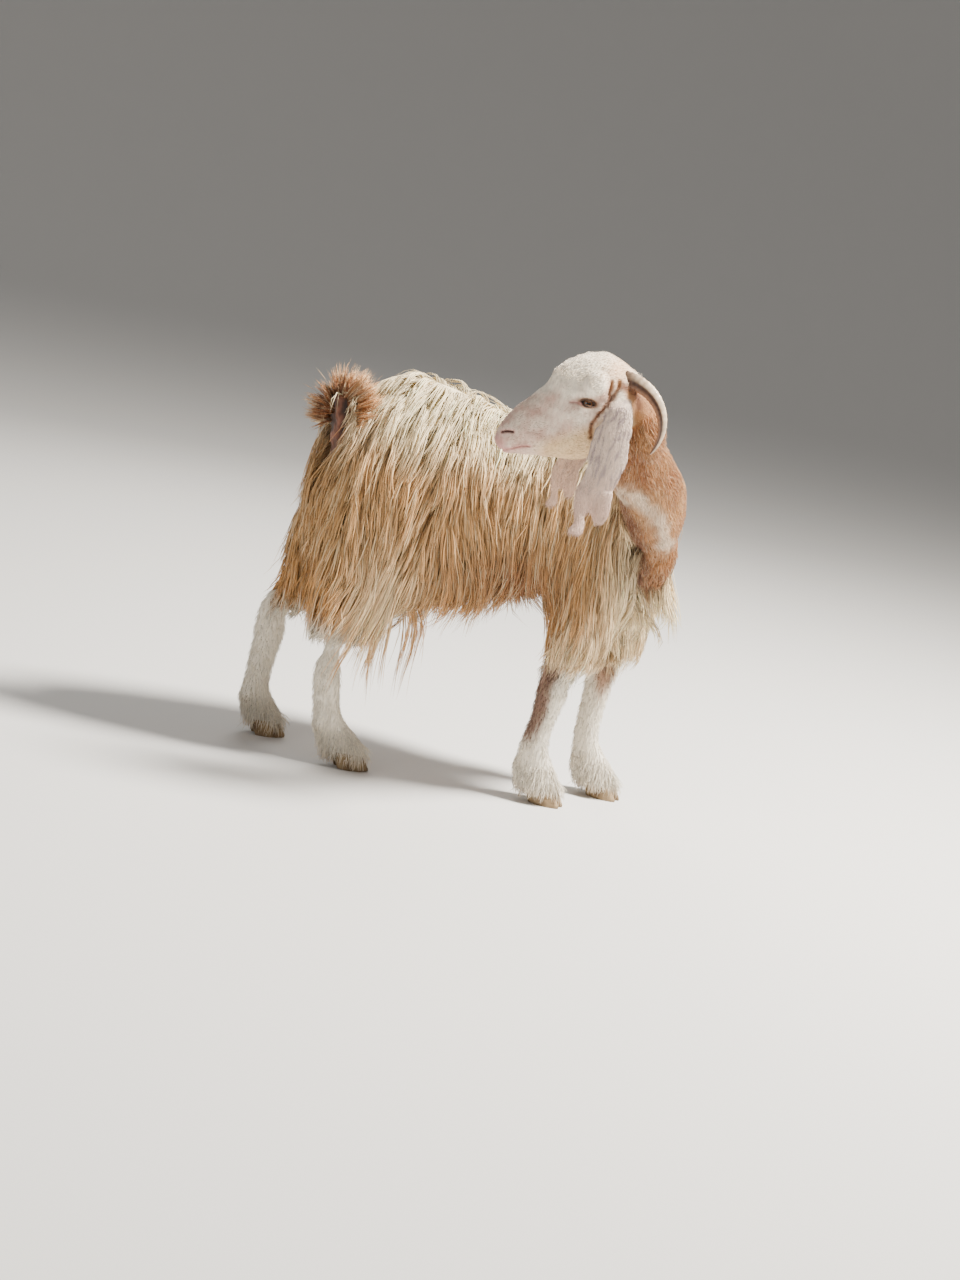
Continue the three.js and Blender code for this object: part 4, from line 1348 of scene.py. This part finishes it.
coat = Finish("coat", Roughness=0.55, Specular_IOR_Level=0.35, Sheen_Weight=0.1)
coat_light = coat.ramp(coat.noise(420, (1, 1, 0.06), 3), 0.3, 0.7, 0.8, 1.18)
coat.dappled(coat.attribute("coat_colour")["Color"], coat_light)


def coat_piece(name, paths, ways, widths, colours, places):
    """A joined mesh of strands, each a closed three-sided sliver that tapers to its tip."""
    count, stops = paths.shape[:2]
    rings = stops - 1
    ahead = unit(np.gradient(paths, axis=1))
    across = unit(np.cross(ahead, ways))
    out = np.cross(across, ahead)
    verts = np.empty((count, rings * 3 + 1, 3))
    half = widths[:, :, None] / 2
    verts[:, 0:-1:3] = paths[:, :rings] - across[:, :rings] * half
    verts[:, 1:-1:3] = paths[:, :rings] + out[:, :rings] * half * 0.8
    verts[:, 2:-1:3] = paths[:, :rings] + across[:, :rings] * half
    verts[:, -1] = paths[:, rings]
    quads = []
    for ring in range(rings - 1):
        for corner in range(3):
            a, b = 3 * ring + corner, 3 * ring + (corner + 1) % 3
            quads.append((b, a, a + 3, b + 3))
    last = 3 * (rings - 1)
    ends = [(last + (corner + 1) % 3, last + corner, 3 * rings) for corner in range(3)] + [(0, 1, 2)]
    pattern = np.array([corner for face in quads + ends for corner in face])
    sizes = np.array([4] * len(quads) + [3] * len(ends))
    corner_verts = pattern + (np.arange(count) * (3 * rings + 1))[:, None]
    mesh = bpy.data.meshes.new(name)
    mesh.vertices.add(verts.shape[0] * verts.shape[1])
    mesh.vertices.foreach_set("co", verts.ravel())
    mesh.loops.add(corner_verts.size)
    mesh.loops.foreach_set("vertex_index", corner_verts.ravel())
    mesh.polygons.add(count * len(sizes))
    all_sizes = np.tile(sizes, count)
    mesh.polygons.foreach_set("loop_start", np.concatenate([[0], np.cumsum(all_sizes)[:-1]]))
    mesh.polygons.foreach_set("use_smooth", np.ones(len(all_sizes), bool))
    mesh.update(calc_edges=True)
    stops_of_vert = np.append(np.repeat(np.arange(rings), 3), rings)
    painted(mesh, "coat_colour", colours[:, stops_of_vert].reshape(-1, 3))
    side_of_vert = np.append(np.tile((0.0, 0.5, 1.0), rings), 0.5)
    patch = np.stack([side_of_vert, stops_of_vert / rings], 1)[pattern] - 0.5
    spots = places[:, None] + PATCH * patch
    mesh.uv_layers.new(name="OFBake").uv.foreach_set("vector", spots.ravel())
    piece = placed(name, mesh)
    mesh.materials.append(coat.material)
    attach(piece, "root")


def shades(paths, kinds, light, random, spread=0.14, depth=0.28):
    """Colours along strands: the markings at root, middle and tip, darker at the root."""
    stops = paths.shape[1]
    t = np.linspace(0, 1, stops)[None, :, None]
    root, middle, tip = (markings(paths[:, k], kinds)[:, None] for k in (0, stops // 2, -1))
    colours = root * np.clip(1 - 2 * t, 0, 1) + middle * (1 - np.abs(2 * t - 1))
    colours += tip * np.clip(2 * t - 1, 0, 1)
    colours = colours * (1.06 - depth + depth * t)
    pick = random.random(len(paths))
    level = np.exp(light + random.normal(0, spread, len(paths)))
    level = level * np.where(pick < 0.10, 1 - 2.4 * spread, 1)
    colours = colours * level[:, None, None]
    pale = np.where(pick > 0.76, 2.8 * spread, 0.0)[:, None, None]
    return np.clip(colours + (CREAM - colours) * pale, 0, 1)


def long_strands(name, density, count, width, seed):
    random = np.random.default_rng(seed)
    roots, normals, kinds, places = scattered(density, count, random)
    nearest = np.array([guide_tree.find(root)[1] for root in roots])
    stops = len(STRAND_PROFILE) + 1
    t = np.linspace(0, 1, stops)[None, :]
    reach = t * random.uniform(0.68, 1.0, count)[:, None]
    paths = along(guide_paths[nearest], np.broadcast_to(reach, (count, stops)))
    ways = along(guide_ways[nearest], np.broadcast_to(reach, (count, stops)))
    closing = random.uniform(0.2, 0.9, count) * (1 - 0.5 * step(normals[:, 2], 0.2, 0.8))
    closing = (closing * np.where(are(kinds, "tail"), 0.25, 1))[:, None] * t**1.3
    apart = roots - guide_roots[nearest]
    apart *= np.minimum(1, NEAR_GUIDE / np.maximum(np.linalg.norm(apart, axis=1), 1e-6))[:, None]
    paths = paths + apart[:, None] * (1 - closing)[:, :, None]
    loose = np.where(random.random(count) < 0.12, 1.0, 0.28)[:, None, None] * (t**1.4)[:, :, None]
    paths = paths + loose * random.normal(0, STRAY, (count, 1, 3)) * (1, 1, 0.4)
    paths = paths + loose * ways * random.uniform(0, 0.006, (count, 1, 1))
    curl = np.sin(t * random.uniform(3, 9, count)[:, None] + random.uniform(0, 6.3, count)[:, None])
    sideways = unit(np.cross(ways, np.gradient(paths, axis=1)))
    paths = paths + sideways * (CURL * curl * t)[:, :, None]
    paths[:, 0] = roots - ROOT_DEPTH * normals
    twist = random.normal(0, 0.45, count)[:, None, None]
    ways = unit(ways + twist * np.cross(unit(np.gradient(paths, axis=1)), ways))
    widths = width * random.uniform(0.6, 1.25, count)[:, None] * np.array(STRAND_PROFILE)
    colours = shades(paths, kinds, guide_light[nearest], random)
    coat_piece(name, paths, ways, widths, colours, places)


face_forwards = face_middles[:, 0]
REGIONS = (  # name, faces, from and to along the body, strands, slot
    ("rump", trunk_faces, -1, -0.14, 4800, "coat_cream"),
    ("flank", trunk_faces, -0.14, 0.10, 5600, "coat_cream"),
    ("shoulder", trunk_faces, 0.10, 1, 5400, "coat_cream"),
    ("thigh", upper_faces, -1, 0, 2000, "coat_gold"),
    ("forearm", upper_faces, 0, 1, 1500, "coat_gold"),
)
for side, word in ((-1, "right"), (1, "left")):
    here = beside_parting(face_middles) * side >= 0
    for index, (region, faces, low, high, count, slot) in enumerate(REGIONS):
        chosen = faces * (here & (face_forwards >= low) & (face_forwards < high))
        count = count if side < 0 else int(count * LEFT_SHARE)
        long_strands(f"coat_{region}_{word}", chosen, count, STRAND_WIDTH, 40 + 2 * index + side)
long_strands("coat_tail", tail_faces * 1.0, 2300, TAIL_STRAND_WIDTH, 91)

# ---- Short coat ----
# Short, flat hair on the neck, face, ears and shanks, finest on the face, with longer white feathering
# that falls over the claws. It lies from the lips to the poll, down the neck and down the legs.
NECK_LIE = (0.30, 0.55, -0.78)
APRON_TIP = (0.315, 0.37)  # the apron's lowest hairs gather towards this point
FEATHER_TOP = 0.075
NECK_HAIR = 0.018
FACE_HAIR = 0.0080
EAR_HAIR = 0.008
SHANK_HAIR = 0.013
SHORT_ROOT_DEPTH = 0.001
NECK_FOOT = 0.46
CLEAR_OF_EYE = 17
MOUTH_AT = 150  # no hair in front of this, below the middle of the muzzle


def short_strands(name, density, count, length, width, lift, rings, lie_at, slot, seed, tone=0.07):
    """Strands that each rise a little from the hide and bend back along it."""
    random = np.random.default_rng(seed)
    roots, normals, kinds, places = scattered(density, count, random)
    t = np.linspace(0, 1, rings + 1)[None, :, None]
    lie = unit(np.asarray(lie_at(roots, normals), float)) + random.normal(0, 0.13, (count, 3))
    lie = unit(lie - 0.9 * (lie * normals).sum(1)[:, None] * normals)
    length = np.broadcast_to(length(roots) if callable(length) else length, count)
    lift = np.broadcast_to(lift(roots) if callable(lift) else lift, count)
    length = (length * random.uniform(0.65, 1.25, count))[:, None, None]
    lift = (lift * random.uniform(0.4, 1.5, count))[:, None, None]
    rise = lift * (t - 0.55 * t * t)
    paths = roots[:, None] + length * (t * lie[:, None] + rise * normals[:, None])
    paths[:, 0] -= SHORT_ROOT_DEPTH * normals
    paths[:, :, 2] = np.maximum(paths[:, :, 2], 0.002)
    ways = np.broadcast_to(normals[:, None], paths.shape)
    profile = np.linspace(1.0, 0.75, rings)
    widths = width * random.uniform(0.7, 1.3, count)[:, None] * profile
    light = 0.06 * ripple(roots, 0.02, seed)
    colours = shades(paths, kinds, light, random, tone, 1.6 * tone)
    coat_piece(name, paths, ways, widths, colours, places)


def straight_down(roots, normals):
    return np.tile((0.0, 0.0, -1.0), (len(roots), 1))


def apron_tip(roots):
    """How far roots are at the apron's lower end."""
    return 1 - step(roots[:, 2], 0.43, 0.475)


def neck_length(roots):
    return NECK_HAIR + 0.032 * apron_tip(roots)


def down_neck(roots, normals):
    lie = np.tile(NECK_LIE, (len(roots), 1)) + 0.25 * ripple(roots, 0.07, 31)[:, None] * (1, 0, 1)
    gathered = ((APRON_TIP[0], 0, APRON_TIP[1]) - roots) * (1, 0, 1)
    return lie + apron_tip(roots)[:, None] * (3 * unit(gathered) - lie)


def over_face(roots, normals):
    """From the lips back, and down over the cheeks and jaw."""
    place = in_head(roots)
    lie = np.tile(from_head((-1000, 0, 0)) - head_middle, (len(roots), 1))
    cheek = step(-place[:, 2], 0, 30) * step(-place[:, 0], -60, 0)
    return lie + cheek[:, None] * (0.2, 0, -0.8)


def down_shank(roots, normals):
    low = 1 - step(roots[:, 2], 0.03, FEATHER_TOP)
    return straight_down(roots, normals) + low[:, None] * normals * (0.35, 0.35, 0)


def crown_share(roots):
    """How far roots are on the woolly crown."""
    place = in_head(roots)
    return step(place[:, 2] - 0.3 * place[:, 0], 30, 48) * (1 - step(-place[:, 0], 50, 66))


def face_length(roots):
    return FACE_HAIR + 0.0030 * crown_share(roots)


def face_lift(roots):
    return 0.05 + 0.20 * crown_share(roots)


def feathered(roots):
    return SHANK_HAIR + 0.013 * (1 - step(roots[:, 2], 0.035, FEATHER_TOP))


def feather_lift(roots):
    return 0.42 + 0.28 * (1 - step(roots[:, 2], 0.035, FEATHER_TOP))


place = in_head(face_middles)
from_eyes = np.linalg.norm(np.abs(place) - (0, EYE_OUT, 0), axis=1)
clear_of_eyes = (from_eyes > CLEAR_OF_EYE) | (np.abs(place[:, 1]) < 20)
clear_of_lips = (place[:, 0] < MOUTH_AT) | (place[:, 2] > 5)
neck_faces = on_neck & (face_heights > NECK_FOOT) | apron_faces
face_density = are(face_kinds, "head") * clear_of_eyes * clear_of_lips * 1.0
ear_faces = are(face_kinds, "ear")
shank_faces = are(face_kinds, "lower") | are(face_kinds, "upper") & ~upper_faces
shank_density = 1.0 + 2.2 * (face_heights < FEATHER_TOP)
short_strands(
    "coat_neck", neck_faces * 1.0, 8600, neck_length, 0.0016, 0.28, 3, down_neck, "coat_rust", 61, 0.06
)
short_strands(
    "coat_face", face_density, 7800, face_length, 0.0008, face_lift, 2, over_face, "coat_white", 62, 0.03
)
short_strands(
    "coat_ears", ear_faces * 1.0, 6000, EAR_HAIR, 0.0010, 0.14, 2, straight_down, "ear_skin", 63, 0.035
)
for index, (name, chosen) in enumerate((("fore", face_forwards > 0), ("hind", face_forwards <= 0))):
    shanks = shank_faces * chosen * shank_density
    feathering = (feathered, 0.0014, feather_lift, 3, down_shank)
    short_strands(f"coat_shanks_{name}", shanks, 5000, *feathering, "coat_white", 64 + index)
